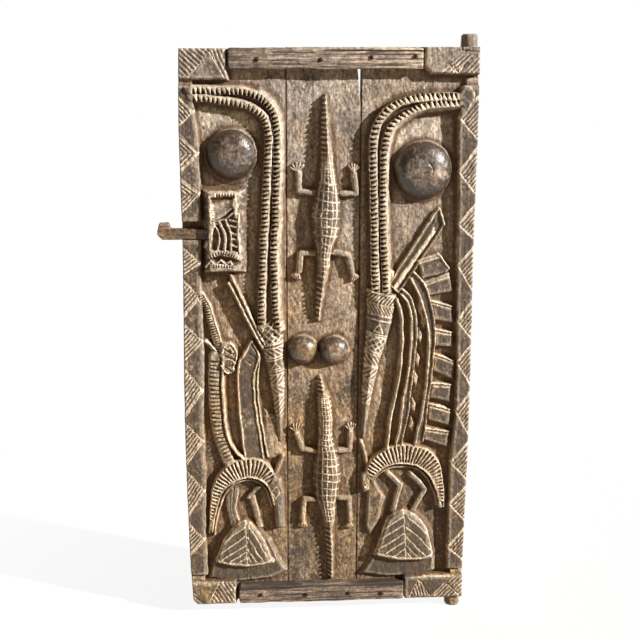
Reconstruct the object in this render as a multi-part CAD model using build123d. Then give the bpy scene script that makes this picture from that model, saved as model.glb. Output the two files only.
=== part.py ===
from build123d import *
import os

# A carved granary door of three planks held by two nailed battens.  It hangs on two round pivots
# left standing on the right plank, and a wooden bolt slides in a housing on the left plank.
# Millimetres.  X runs to the right across the carved face, Z is up, and the carved face looks
# along -Y.  The pivot axis is X = 0, Y = 0, and the planks end on Z = 0 at the bottom.

# Planks
left_plank_width = 247.0
middle_plank_width = 176.0
right_plank_width = 275.0
joint_gap = 1.0
door_height = 1390.0
ground_thickness = 30.0
split_width = 14.0
split_length = 130.0

# Pivots
pivot_inset = 22.0
pivot_radius = 20.5
pivot_length = 30.0
pivot_rounding = 4.0

# Relief heights over the ground
border_relief = 20.0
block_relief = 23.0
arch_relief = 24.0
large_dome_relief = 40.0
small_dome_relief = 34.0
crocodile_relief = 27.0
limb_relief = 13.0
cone_relief = 25.0
bar_relief = 21.0
animal_relief = 18.0
antelope_relief = 18.0
mound_relief = 24.0
fin_relief = 12.0
rib_relief = 19.0
diamond_relief = 11.0
housing_relief = 34.0

# Sizes of the carved forms
relief_root = 3.0
relief_draft = 5.0
block_bevel = 9.0
arch_foot = 24.0
arch_crest = 5.0
arch_bend = 60.0
left_dome_radius = 62.0
right_dome_radius = 72.0
small_dome_radius = 37.0
dome_skirt = 6.0
dome_rings = 5
rib_foot = 22.0
rib_crest = 13.0
line_foot = 13.0
line_crest = 4.0
fin_corner = 3.0

# Battens and their nails
batten_thickness = 28.0
batten_height = 50.0
batten_edge = 3.0
nail_half_width = 2.0
nail_head_radius = 6.5
nail_head_height = 3.0
nail_clearance = 0.2
clinch_length = 18.0

# Lock
bolt_height = 27.0
bolt_thickness = 24.0
bolt_setback = 2.0
bolt_clearance = 0.4
bolt_reach = 61.0
bolt_grip = 81.0
bolt_nose = 12.0
bolt_edge = 1.5
bolt_travel = 48.0
bolt_throw = 8.0
tunnel_room = 1.0
knob_rise = 14.0
knob_lean = 4.0
knob_length = 27.0
knob_room = 4.0
housing_width = 98.0
housing_height = 194.0
housing_hip = 15.0
housing_shoulder = 8.0
housing_wall = 4.0
housing_ribs = 3
rib_width = 7.0
panel_depth = 7.0
upper_panel_rise = 28.0
upper_panel_rim = 12.0
rib_panel_rise = 14.0
rib_panel_drop = 22.0
rib_root = 1.0
tumbler_radius = 3.0
tumbler_length = 28.0
tumbler_lift = 9.0
tumbler_headroom = 1.0
tumbler_spacing = 9.0
tumbler_inset = 14.0
tumbler_clearance = 0.3
tumbler_socket = 7.0
plug_clearance = 0.1
plug_depth = 4.0
seat_gap = 0.3

# The carving below is drawn on a face of this height, with x measured from the centre line
drawn_height = 1390.0

stile_thickness = ground_thickness + border_relief
back_y = stile_thickness / 2
ground_y = back_y - ground_thickness
carving_reach = 2 * stile_thickness


class Plank:
    """Where a plank lies, and how its drawn carving stretches to the real width and height."""

    def __init__(self, drawn_left, drawn_right, right_edge, width):
        self.drawn_left = drawn_left
        self.stretch = width / (drawn_right - drawn_left)
        self.left = right_edge - width
        self.right = right_edge

    def at(self, x, z):
        return (self.left + (x - self.drawn_left) * self.stretch, z * door_height / drawn_height)

    def places(self, points):
        return [self.at(x, z) for x, z in points]


right = Plank(75, 350, pivot_inset, right_plank_width)
middle = Plank(-102, 74, right.left - joint_gap, middle_plank_width)
left = Plank(-350, -103, middle.left - joint_gap, left_plank_width)


def face_plane(y):
    """The door's face at a depth: local x to the right, local y up, outwards along -Y."""
    return Plane((0, y, 0), x_dir=(1, 0, 0), z_dir=(0, -1, 0))


def rod(radius, length, base, direction):
    """A round pin or hole from a point along a direction."""
    return extrude(Plane(base, z_dir=direction) * Circle(radius), length)


def block_between(x_range, y_range, z_range):
    """A box between two limits each way."""
    (x0, x1), (y0, y1), (z0, z1) = x_range, y_range, z_range
    return Pos((x0 + x1) / 2, (y0 + y1) / 2, (z0 + z1) / 2) * Box(x1 - x0, y1 - y0, z1 - z0)


def plank_face(plank, left_side, right_side):
    """A plank's outline between two side edges drawn from the bottom up."""
    sides = []
    for side in (left_side, right_side):
        points = plank.places(side)
        sides.append(Spline(*points) if len(points) > 2 else Line(*points))
    return make_face(sides + [Line(sides[0] @ end, sides[1] @ end) for end in (0, 1)])


def carve(sketch, relief, draft=0.0):
    """A flat drawing raised to its relief, with its root in the ground."""
    return extrude(face_plane(ground_y + relief_root) * sketch, relief + relief_root, taper=draft)


def outline(points, cut_corners=0.0):
    """A face inside straight lines, with its corners cut off."""
    face = make_face(Polyline(*points, close=True))
    return chamfer(face.vertices(), cut_corners) if cut_corners else face


def limb(plank, stations, relief):
    """A limb of eight-sided stations x, z, radius, each joined to the next by its two tangents."""
    knots = [Pos(*plank.at(x, z)) * RegularPolygon(r * plank.stretch, 8) for x, z, r in stations]
    links = [make_hull(a.edges() + b.edges()) for a, b in zip(knots, knots[1:])]
    return carve(Sketch() + links, relief)


def ridge(plank, points, bend, foot, crest, relief):
    """A ridge with sloping sides along straight runs joined by arcs."""
    run = plank.places(points)
    flat_path = FilletPolyline(*run, radius=bend) if len(run) > 2 else Line(*run)
    path = face_plane(ground_y) * flat_path
    flank = [(-relief_root, foot / 2), (0, foot / 2), (relief, crest / 2)]
    rim = flank + [(height, -side) for height, side in reversed(flank)]
    start = Plane(path @ 0, x_dir=(0, -1, 0), z_dir=path % 0)
    return sweep(start * make_face(Polyline(*rim, close=True)), path=path)


def dome(plank, x, z, radius, relief):
    """A round boss hewn in rings round its crown, which meets the ground in a short skirt."""
    bulge = (radius**2 + (relief - dome_skirt) ** 2) / (2 * (relief - dome_skirt))
    cap = RadiusArc((0, relief), (radius, dome_skirt), bulge)
    rings = [cap @ (ring / dome_rings) for ring in range(dome_rings + 1)]
    toe = radius + dome_skirt
    rim = Polyline(*rings, (toe, 0), (toe, -relief_root), (0, -relief_root), close=True)
    turned = revolve(make_face(rim), Axis.Y)
    across, up = plank.at(x, z)
    return Pos(across, ground_y, up) * Rot(180, 0, 0) * turned


def keeled(plank, stations, relief):
    """A body with two keels and sloping flanks: stations x, z, half width and share of the relief,
    from the bottom up."""
    sections = []
    for x, z, half_width, share in stations:
        across, up = plank.at(x, z)
        half = half_width * plank.stretch
        high = relief * share
        flank = [(half, -relief_root), (half, 0.35 * high), (0.38 * half, high)]
        rim = flank + [(-side, height) for side, height in reversed(flank)]
        points = [(across + side, ground_y - height, up) for side, height in rim]
        sections.append(make_face(Polyline(*points, close=True)))
    return loft(sections, ruled=True)


def hipped(foot, crown, relief):
    """A form with a flat crown and hips that slope out to its foot."""
    root = face_plane(ground_y + relief_root) * outline(foot)
    return loft([root, face_plane(ground_y - relief) * outline(crown)], ruled=True)


def band(plank, outer_edge, inner_edge, relief):
    """A band between two curves, such as an antelope's back."""
    outer = Spline(*plank.places(outer_edge))
    inner = Spline(*plank.places(inner_edge))
    return carve(make_face([outer, inner] + [Line(outer @ end, inner @ end) for end in (0, 1)]), relief)


def border(plank, inner_edge, outer_x):
    """The raised strip along an outer edge of the door, from corner block to corner block."""
    inner = Spline(*plank.places(inner_edge))
    (_, low), (_, high) = inner_edge[0], inner_edge[-1]
    rest = Polyline(inner @ 0, plank.at(outer_x, low), plank.at(outer_x, high), inner @ 1)
    return carve(make_face([inner, rest]), border_relief)


def corner_block(plank, points, towards_border):
    """A raised block at a corner of the door, bevelled where the border starts."""
    block = carve(outline(plank.places(points)), block_relief)
    edges = block.faces().sort_by(Axis.Y)[0].edges().sort_by(Axis.Z)
    return chamfer(edges[towards_border], block_bevel)


# ------------------------------------------------------------------ lock: where its pieces lie
bolt_low = 0.679 * door_height
bolt_top = bolt_low + bolt_height
bolt_front = ground_y - border_relief + bolt_setback
bolt_back = bolt_front + bolt_thickness
bolt_middle = (bolt_front + bolt_back) / 2
bolt_tip = left.left - bolt_reach
bolt_tail = left.left + bolt_grip
housing_right = bolt_tail + bolt_travel + housing_wall + housing_hip
housing_left = housing_right - housing_width
housing_low = bolt_top - 0.54 * housing_height
housing_top = housing_low + housing_height
tumbler_xs = [bolt_tail - tumbler_inset - tumbler_spacing, bolt_tail - tumbler_inset]
chamber_radius = tumbler_radius + tumbler_clearance
chamber_top = bolt_top + tumbler_length + tumbler_lift + tumbler_headroom


def lock_housing():
    """The hipped block over the bolt, with a sunk panel, and three ribs in a second one."""
    x0, x1 = housing_left, housing_right
    foot = [(x0, housing_low), (x1, housing_low), (x1, housing_top), (x0, housing_top)]
    x0, x1 = x0 + housing_hip, x1 - housing_hip
    z0, z1 = housing_low + housing_shoulder, housing_top - housing_shoulder
    block = hipped(foot, [(x0, z0), (x1, z0), (x1, z1), (x0, z1)], housing_relief)
    front = ground_y - housing_relief
    inside = (x0 + housing_wall, x1 - housing_wall)
    sunk = (front - 1, front + panel_depth)
    block -= block_between(inside, sunk, (bolt_top + upper_panel_rise, z1 - upper_panel_rim))
    rib_panel = (bolt_low - rib_panel_drop, bolt_top + rib_panel_rise)
    block -= block_between(inside, sunk, rib_panel)
    pitch = (inside[1] - inside[0]) / (housing_ribs + 1)
    for rib in range(housing_ribs):
        start = inside[0] + (rib + 1) * pitch - rib_width / 2
        block += block_between((start, start + rib_width), (front, front + panel_depth + rib_root),
                               (rib_panel[0] - rib_root, rib_panel[1] + rib_root))
    return block


def lock_cavity():
    """The open channel that guides the bolt and its knob, the tunnel, and the tumbler chambers."""
    floor = bolt_back + bolt_clearance
    low = bolt_low - bolt_clearance
    front = ground_y - 2 * housing_relief
    channel_top = bolt_top + knob_rise + knob_room
    channel = block_between((bolt_tip, housing_left), (front, floor), (low, channel_top))
    tunnel_end = bolt_tail + bolt_travel + tunnel_room
    tunnel = block_between((housing_left - tunnel_room, tunnel_end), (bolt_front - bolt_clearance, floor),
                           (low, bolt_top + bolt_clearance))
    chambers = [rod(chamber_radius, housing_top - bolt_top, (x, bolt_middle, bolt_top), (0, 0, 1))
                for x in tumbler_xs]
    return [channel, tunnel] + chambers


# ------------------------------------------------------------------ nails: where they are driven
batten_front = ground_y - batten_thickness
top_nails = [left.at(-170, 1362), middle.at(-23, 1361), right.at(95, 1366), right.at(197, 1368)]
bottom_nails = [left.at(-173, 24), middle.at(-56, 22), middle.at(53, 23), right.at(138, 19)]


def nail_holes(places):
    """The square holes that the shanks have cut for themselves."""
    half = nail_half_width + nail_clearance
    depth = (batten_front - 1, back_y + 1)
    return [block_between((x - half, x + half), depth, (z - half, z + half)) for x, z in places]


def nail(x, z, clinch):
    """A forged nail: a square shank, a hammered eight-sided head on the batten, and a point bent
    over on the back, towards the middle of the door for a positive clinch."""
    half = nail_half_width
    tail = (back_y + nail_clearance, back_y + nail_clearance + 2 * half)
    shank = block_between((x - half, x + half), (batten_front, tail[1]), (z - half, z + half))
    reach = sorted((z - half if clinch > 0 else z + half, z + clinch))
    point = block_between((x - half, x + half), tail, reach)
    levels = [(0, nail_head_radius), (0.4 * nail_head_height, nail_head_radius), (nail_head_height, half)]
    head = loft([face_plane(batten_front - rise) * Pos(x, z) * RegularPolygon(r, 8) for rise, r in levels],
                ruled=True)
    return shank + point + head


# ------------------------------------------------------------------ planks
def left_plank():
    face = plank_face(left, [(-346, 0), (-353, 150), (-357, 500), (-352, 900), (-354, 1200),
                             (-350, drawn_height)], [(-103, 0), (-103, drawn_height)])
    solid = extrude(face_plane(back_y) * face, ground_thickness)
    reach = extrude(face_plane(back_y) * face, carving_reach)
    edge_work = [
        border(left, [(-308, 66), (-311, 180), (-307, 300), (-311, 480), (-306, 650), (-309, 850),
                      (-306, 950), (-306, 1070), (-308, 1180), (-317, 1270), (-318, 1314)], -380),
        corner_block(left, [(-380, 1312), (-236, 1312), (-241, 1400), (-380, 1400)], 0),
        corner_block(left, [(-380, -10), (-234, -10), (-236, 66), (-380, 68)], -1),
        ridge(left, [(-330, 1299), (-119, 1294), (-127, 900), (-124, 705)], arch_bend, arch_foot, arch_crest,
              arch_relief),
    ]
    solid += [form & reach for form in edge_work]
    solid += [
        ridge(left, [(-316, 1284), (-139, 1257), (-153, 870), (-149, 700)], arch_bend, 0.8 * arch_foot,
              arch_crest, arch_relief),
        dome(left, -231, 1146, left_dome_radius, large_dome_relief),
        keeled(left, [(-120, 440, 3, 0.4), (-123, 520, 12, 0.8), (-128, 600, 17, 0.95), (-134, 650, 22, 1),
                      (-139, 700, 27, 1), (-141, 735, 26, 0.9)], cone_relief),
        carve(outline(left.places([(-247, 838), (-236, 858), (-158, 682), (-166, 672)])), bar_relief,
              relief_draft),
        lock_housing(),
        ridge(left, [(-306, 805), (-289, 762), (-268, 685)], arch_bend, line_foot, line_crest,
              animal_relief),
        limb(left, [(-248, 678, 17), (-245, 645, 15), (-248, 630, 10)], animal_relief),
        limb(left, [(-300, 693, 5), (-268, 658, 6)], animal_relief),
        band(left, [(-292, 655), (-293, 550), (-289, 450), (-262, 376)],
             [(-254, 655), (-255, 540), (-243, 450), (-214, 388)], animal_relief - 3),
        ridge(left, [(-256, 655), (-257, 530), (-243, 445), (-214, 390)], arch_bend, line_foot, line_crest,
              animal_relief + 2),
        carve(outline(left.places([(-190, 690), (-217, 645), (-221, 560), (-209, 385), (-162, 385),
                                   (-184, 560), (-172, 650)])), fin_relief),
        ridge(left, [(-219, 645), (-220, 550), (-208, 385)], arch_bend, line_foot, line_crest,
              animal_relief - 2),
        ridge(left, [(-181, 645), (-184, 570), (-163, 385)], arch_bend, line_foot, line_crest,
              animal_relief - 2),
        band(left,
             [(-303, 190), (-298, 270), (-285, 335), (-250, 378), (-200, 392), (-158, 380), (-133, 345),
              (-121, 290), (-117, 208)],
             [(-289, 205), (-281, 262), (-267, 300), (-240, 329), (-205, 341), (-172, 337), (-150, 315),
              (-137, 268), (-131, 208)], antelope_relief),
        limb(left, [(-128, 330, 8), (-123, 280, 9), (-121, 215, 8)], antelope_relief),
        limb(left, [(-132, 350, 4), (-119, 394, 5)], antelope_relief),
        limb(left, [(-243, 303, 13), (-246, 265, 12), (-237, 222, 9)], limb_relief),
        limb(left, [(-192, 300, 9), (-184, 255, 11), (-170, 214, 12)], limb_relief),
        hipped(left.places([(-212, 237), (-180, 213), (-150, 172), (-128, 125), (-112, 92), (-175, 66),
                            (-240, 66), (-308, 80), (-292, 120), (-277, 165), (-248, 214)]),
               left.places([(-212, 222), (-190, 203), (-168, 165), (-148, 124), (-142, 112), (-175, 104),
                            (-235, 104), (-279, 113), (-276, 128), (-262, 160), (-238, 200)]), mound_relief),
    ]
    return solid - lock_cavity() - nail_holes([top_nails[0], bottom_nails[0]])


def crocodile(body, legs):
    """A crocodile seen from above: a keeled body and four bent legs."""
    return [keeled(middle, body, crocodile_relief)] + [limb(middle, leg, limb_relief) for leg in legs]


def middle_plank():
    edge = [(-102, 0), (74, 0), (74, drawn_height), (-102, drawn_height)]
    face = outline(middle.places(edge))
    solid = extrude(face_plane(back_y) * face, ground_thickness)
    solid += crocodile(
        [(-25, 742, 3, 0.35), (-20, 800, 8, 0.6), (-14, 870, 13, 0.75), (-12, 920, 15, 0.85),
         (-6, 960, 26, 0.95), (-4, 1000, 31, 1), (-2, 1045, 25, 1), (-4, 1090, 17, 0.95),
         (-4, 1150, 14, 0.9), (-6, 1220, 11, 0.85), (-12, 1283, 5, 0.6)],
        [[(-73, 1104, 10), (-73, 1055, 7), (-15, 1053, 9)], [(56, 1100, 10), (62, 1050, 7), (12, 1050, 9)],
         [(-73, 866, 9), (-72, 908, 7), (-18, 912, 9)], [(52, 866, 9), (46, 905, 7), (5, 912, 9)]])
    solid += crocodile(
        [(9, 62, 6, 0.6), (7, 150, 7, 0.7), (4, 200, 8, 0.75), (0, 240, 13, 0.8), (-4, 280, 22, 0.9),
         (-3, 330, 34, 1), (-4, 370, 28, 1), (-5, 400, 19, 0.95), (-8, 440, 12, 0.9),
         (-8, 490, 14, 0.9), (-12, 545, 13, 0.85), (-20, 598, 4, 0.5)],
        [[(-79, 460, 10), (-66, 412, 7), (-15, 408, 9)], [(55, 460, 10), (52, 408, 7), (3, 408, 9)],
         [(-65, 226, 9), (-62, 280, 7), (-15, 282, 9)], [(54, 220, 9), (52, 280, 7), (10, 284, 9)]])
    reach = extrude(face_plane(back_y) * face, carving_reach)
    solid += [dome(middle, x, 672, small_dome_radius, small_dome_relief) & reach for x in (-63, 13)]
    split_corners = [(middle.right - split_width, door_height + 1),
                     (middle.right + 1, door_height - split_length), (middle.right + 1, door_height + 1)]
    split = extrude(face_plane(back_y + 1) * outline(split_corners), carving_reach)
    return solid - [split] - nail_holes([top_nails[1], bottom_nails[1], bottom_nails[2]])


def right_plank():
    face = plank_face(right, [(75, 0), (75, drawn_height)],
                      [(350, 0), (350, 140), (354, 500), (351, 900), (352, 1250), (350, drawn_height)])
    solid = extrude(face_plane(back_y) * face, ground_thickness)
    reach = extrude(face_plane(back_y) * face, carving_reach)
    edge_work = [
        border(right, [(308, 66), (308, 240), (309, 370), (318, 500), (317, 620), (315, 740), (311, 870),
                       (310, 1000), (308, 1080), (304, 1180), (306, 1250), (303, 1322)], 380),
        corner_block(right, [(380, 1318), (236, 1318), (219, 1334), (219, 1400), (380, 1400)], 0),
        corner_block(right, [(380, -10), (198, -10), (198, 62), (380, 68)], -1),
        keeled(right, [(88, 440, 3, 0.4), (88, 480, 6, 0.6), (93, 540, 10, 0.8), (99, 600, 14, 0.9),
                       (106, 650, 18, 0.95), (115, 690, 24, 1), (122, 740, 29, 1), (129, 800, 34, 0.95)],
               cone_relief),
    ]
    solid += [form & reach for form in edge_work]
    fins = [
        [(218, 884), (265, 902), (290, 866), (286, 858), (226, 846)],
        [(231, 832), (291, 853), (303, 812), (248, 803)],
        [(253, 786), (301, 772), (306, 733), (260, 742)],
        [(262, 714), (304, 706), (307, 672), (263, 676)],
        [(262, 652), (308, 634), (311, 590), (260, 612)],
        [(258, 576), (304, 573), (302, 530), (254, 542)],
        [(254, 522), (304, 508), (302, 468), (248, 487)],
        [(244, 460), (302, 450), (300, 412), (240, 434)],
    ]
    solid += [
        ridge(right, [(304, 1281), (205, 1279), (108, 1220), (110, 1080), (121, 790)], arch_bend,
              0.8 * arch_foot, arch_crest, arch_relief),
        ridge(right, [(304, 1266), (215, 1259), (131, 1205), (132, 1080), (144, 790)], arch_bend,
              0.8 * arch_foot, arch_crest, arch_relief),
        dome(right, 223, 1106, right_dome_radius, large_dome_relief),
        carve(outline(right.places([(150, 828), (166, 810), (277, 978), (262, 1013), (252, 1001)])),
              bar_relief, relief_draft),
        ridge(right, [(168, 795), (181, 745), (181, 640), (166, 540), (150, 405)], arch_bend, line_foot,
              line_crest, rib_relief),
        ridge(right, [(182, 810), (211, 752), (210, 640), (196, 540), (178, 405)], arch_bend, rib_foot,
              rib_crest, rib_relief),
        ridge(right, [(202, 852), (238, 806), (255, 730), (255, 620), (244, 500), (229, 405)], arch_bend,
              rib_foot, rib_crest, rib_relief),
        ridge(right, [(219, 765), (227, 690), (222, 600), (208, 420)], arch_bend, line_foot, line_crest,
              diamond_relief),
        band(right,
             [(94, 372), (120, 392), (150, 410), (190, 418), (230, 412), (262, 394), (286, 358), (294, 310),
              (297, 250)],
             [(110, 326), (125, 348), (150, 364), (190, 371), (225, 364), (255, 340), (274, 300),
              (284, 262), (287, 250)], antelope_relief),
        limb(right, [(97, 340, 11), (94, 308, 9)], antelope_relief),
        limb(right, [(84, 430, 4), (97, 375, 8)], antelope_relief),
        limb(right, [(112, 330, 10), (122, 272, 17), (112, 205, 12)], limb_relief),
        limb(right, [(150, 343, 6), (179, 310, 8), (168, 250, 8)], limb_relief),
        limb(right, [(210, 342, 7), (240, 300, 8), (215, 242, 8)], limb_relief),
        hipped(right.places([(185, 248), (222, 232), (255, 206), (272, 165), (276, 128), (290, 85),
                             (200, 70), (85, 80), (112, 122), (125, 166), (148, 226)]),
               right.places([(185, 237), (215, 220), (248, 198), (263, 160), (267, 128), (266, 112),
                             (200, 110), (126, 124), (128, 137), (138, 166), (158, 214)]), mound_relief),
    ]
    solid += [carve(outline(right.places(fin), fin_corner), fin_relief) for fin in fins]
    root = door_height - pivot_radius
    upper = rod(pivot_radius, pivot_length + pivot_radius, (0, 0, root), (0, 0, 1))
    lower = rod(pivot_radius, pivot_length + pivot_radius, (0, 0, pivot_radius), (0, 0, -1))
    solid += fillet(upper.edges().group_by(Axis.Z)[-1], pivot_rounding)
    solid += fillet(lower.edges().group_by(Axis.Z)[0], pivot_rounding)
    return solid - nail_holes(top_nails[2:] + bottom_nails[3:])


# ------------------------------------------------------------------ battens
def batten(start, end, nails):
    """A batten across the planks, from one corner block to the other."""
    (x0, z0), (x1, _) = start, end
    bar = block_between((x0, x1), (batten_front, ground_y), (z0, z0 + batten_height))
    front = bar.faces().sort_by(Axis.Y)[0]
    return chamfer(front.edges(), batten_edge) - nail_holes(nails)


# ------------------------------------------------------------------ lock pieces
def lock_bolt():
    """The bolt, with its upturned knob, blunt nose and two sockets for the tumblers."""
    knob_top = bolt_top + knob_rise
    knob_end = bolt_tip + knob_lean + knob_length
    side = outline([(bolt_tail, bolt_low), (bolt_tail, bolt_top), (knob_end, bolt_top),
                    (knob_end - knob_lean / 2, knob_top), (bolt_tip + knob_lean, knob_top),
                    (bolt_tip, bolt_top - 2 * knob_lean), (bolt_tip, bolt_low + bolt_nose),
                    (bolt_tip + bolt_nose, bolt_low)])
    bar = extrude(face_plane(bolt_back) * side, bolt_thickness)
    bar = chamfer(bar.faces().sort_by(Axis.Y)[0].edges(), bolt_edge)
    floor = bolt_top - tumbler_socket
    return bar - [rod(chamber_radius, tumbler_socket, (x + bolt_throw, bolt_middle, floor), (0, 0, 1))
                  for x in tumbler_xs]


def tumbler(x):
    """A loose eight-sided pin that rests on the bolt."""
    foot = Plane((x, bolt_middle, bolt_top + seat_gap)) * RegularPolygon(tumbler_radius, 8)
    return extrude(foot, tumbler_length)


def tumbler_plug(x):
    """A whittled peg that closes a chamber above its tumbler."""
    end = Plane((x, bolt_middle, chamber_top)) * RegularPolygon(chamber_radius - plug_clearance, 8)
    return extrude(end, housing_top - plug_depth - chamber_top)


door = {
    "left_plank": left_plank(),
    "middle_plank": middle_plank(),
    "right_plank": right_plank(),
    "top_batten": batten(left.at(-237, 1339), right.at(216, 1339), top_nails),
    "bottom_batten": batten(left.at(-229, 0), right.at(195, 0), bottom_nails),
    "top_batten_nails": Compound(children=[nail(x, z, -clinch_length) for x, z in top_nails]),
    "bottom_batten_nails": Compound(children=[nail(x, z, clinch_length) for x, z in bottom_nails]),
    "lock_bolt": lock_bolt(),
    "outer_tumbler": tumbler(tumbler_xs[0]),
    "inner_tumbler": tumbler(tumbler_xs[1]),
    "tumbler_plugs": Compound(children=[tumbler_plug(x) for x in tumbler_xs]),
}

os.makedirs("parts", exist_ok=True)
for name, shape in door.items():
    export_step(shape, f"parts/{name}.step")
    print(name, len(shape.solids()), round(shape.volume))
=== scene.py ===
import math
import bpy
import bmesh
import numpy as np
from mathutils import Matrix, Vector


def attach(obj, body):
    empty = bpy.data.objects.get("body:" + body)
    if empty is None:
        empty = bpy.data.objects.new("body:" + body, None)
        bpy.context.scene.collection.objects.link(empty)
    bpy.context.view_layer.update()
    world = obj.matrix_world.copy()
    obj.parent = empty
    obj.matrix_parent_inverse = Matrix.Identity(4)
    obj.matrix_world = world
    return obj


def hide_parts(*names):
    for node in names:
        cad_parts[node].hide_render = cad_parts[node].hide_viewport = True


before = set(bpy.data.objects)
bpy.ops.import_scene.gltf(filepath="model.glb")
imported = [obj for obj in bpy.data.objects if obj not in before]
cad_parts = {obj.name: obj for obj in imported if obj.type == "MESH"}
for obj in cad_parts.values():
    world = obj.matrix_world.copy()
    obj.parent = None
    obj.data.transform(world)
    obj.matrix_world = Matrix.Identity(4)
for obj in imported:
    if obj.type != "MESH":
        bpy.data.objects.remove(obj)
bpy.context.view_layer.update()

# The carving is drawn in millimetres on the door's face: x from the door's centre line, z up from the
# planks' bottom ends.  In the frame that centre line is 328 mm to the left of the pivot axis.
MM = 1000.0
PIVOT_X = 328.0
GROUND_Y = -5.0
BACK_Y = 25.0
BATTEN_DEPTH = 28.0
DOOR_HEIGHT = 1390.0
# The drawings were read from the camera's place over the face, at this height over the carving's ground:
# forms that are lower or higher than it are shifted to suit
EYE_X, EYE_Z, EYE_AWAY, READ_LEVEL = -223.0, 1342.0, 2611.0, 20.0
NOISE_SEED, TABLE_COUNT, TABLE_SIZE = 12, 16, 128
TABLES = np.random.RandomState(NOISE_SEED).rand(TABLE_COUNT, TABLE_SIZE, TABLE_SIZE)
CURVE_STEP = 6.0


# ---------------------------------------------------------------- noise and curves
def ease(t):
    """A smooth step from 0 to 1."""
    t = np.clip(t, 0, 1)
    return t * t * (3 - 2 * t)


def lumps(x, z, sx, sz, seed):
    """Smooth noise from -1 to 1 with lumps of size sx by sz."""
    table = TABLES[seed % TABLE_COUNT]
    u, v = x / sx + 31.7 * seed + 500, z / sz + 17.3 * seed + 500
    iu, iv = np.floor(u).astype(int), np.floor(v).astype(int)
    fu, fv = ease(u - iu), ease(v - iv)
    i0, i1, j0, j1 = (i % TABLE_SIZE for i in (iu, iu + 1, iv, iv + 1))
    low = table[i0, j0] * (1 - fu) + table[i1, j0] * fu
    high = table[i0, j1] * (1 - fu) + table[i1, j1] * fu
    return 2 * (low * (1 - fv) + high * fv) - 1


def lumps3(p, size, seed):
    """Smooth noise over points in space."""
    a = lumps(p[:, 0] + 0.61 * p[:, 1], p[:, 2] + 0.37 * p[:, 1], size, size, seed)
    b = lumps(p[:, 1] + 0.53 * p[:, 2], p[:, 0] - 0.41 * p[:, 2], size, size, seed + 3)
    return (a + b) / 1.4


def curve(points):
    """A smooth line through the points."""
    p = np.array(points, float)
    if len(p) < 3:
        return p
    ends = np.vstack([2 * p[0] - p[1], p, 2 * p[-1] - p[-2]])
    out = []
    for k in range(len(p) - 1):
        p0, p1, p2, p3 = ends[k:k + 4]
        n = max(2, int(np.hypot(*(p2 - p1)) / CURVE_STEP))
        t = np.linspace(0, 1, n, endpoint=False)[:, None]
        out.append(0.5 * (2 * p1 + (p2 - p0) * t + (2 * p0 - 5 * p1 + 4 * p2 - p3) * t ** 2
                          + (3 * p1 - p0 - 3 * p2 + p3) * t ** 3))
    return np.vstack(out + [p[-1:]])


def along(path, x, z):
    """How far along a path each point is, and how far to its right."""
    best = np.full(x.shape, np.inf)
    s, side = np.zeros(x.shape), np.zeros(x.shape)
    run = 0.0
    for a, b in zip(path[:-1], path[1:]):
        d = b - a
        length = np.hypot(*d)
        if length < 1e-9:
            continue
        u = d / length
        px, pz = x - a[0], z - a[1]
        t = np.clip(px * u[0] + pz * u[1], 0, length)
        dist = np.hypot(px - t * u[0], pz - t * u[1])
        near = dist < best
        best[near] = dist[near]
        s[near] = run + t[near]
        side[near] = (np.where(px * u[1] - pz * u[0] < 0, -1, 1) * dist)[near]
        run += length
    return s, side


def inside(points, x, z):
    """How far in from a closed outline's edge each point is, negative outside."""
    p = np.array(points, float)
    dist = np.full(x.shape, np.inf)
    odd = np.zeros(x.shape, bool)
    for a, b in zip(p, np.roll(p, -1, 0)):
        d = b - a
        px, pz = x - a[0], z - a[1]
        t = np.clip((px * d[0] + pz * d[1]) / max(d @ d, 1e-9), 0, 1)
        dist = np.minimum(dist, np.hypot(px - t * d[0], pz - t * d[1]))
        cross = (a[1] > z) != (b[1] > z)
        if a[1] != b[1]:
            odd ^= cross & (x < a[0] + (z - a[1]) * d[0] / d[1])
    return np.where(odd, dist, -dist)


def blurred(grid, cells):
    """A grid smoothed by three box blurs."""
    out = grid
    for axis in (0, 1, 0, 1, 0, 1):
        pad = [(0, 0), (0, 0)]
        pad[axis] = (cells + 1, cells)
        total = np.cumsum(np.pad(out, pad, mode="edge"), axis=axis)
        n = out.shape[axis]
        w = 2 * cells + 1
        hi = np.take(total, range(w, w + n), axis=axis)
        lo = np.take(total, range(0, n), axis=axis)
        out = (hi - lo) / w
    return out


# ---------------------------------------------------------------- carving tools
# How far outside a drawing's box its points on the face may lie, and the usual cuts of a hatching
MARGIN = 12.0
HATCH_PITCH, HATCH_DEPTH, HATCH_WIDTH, PALE_CUT = 7.8, 2.0, 3.7, 1.25


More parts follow.
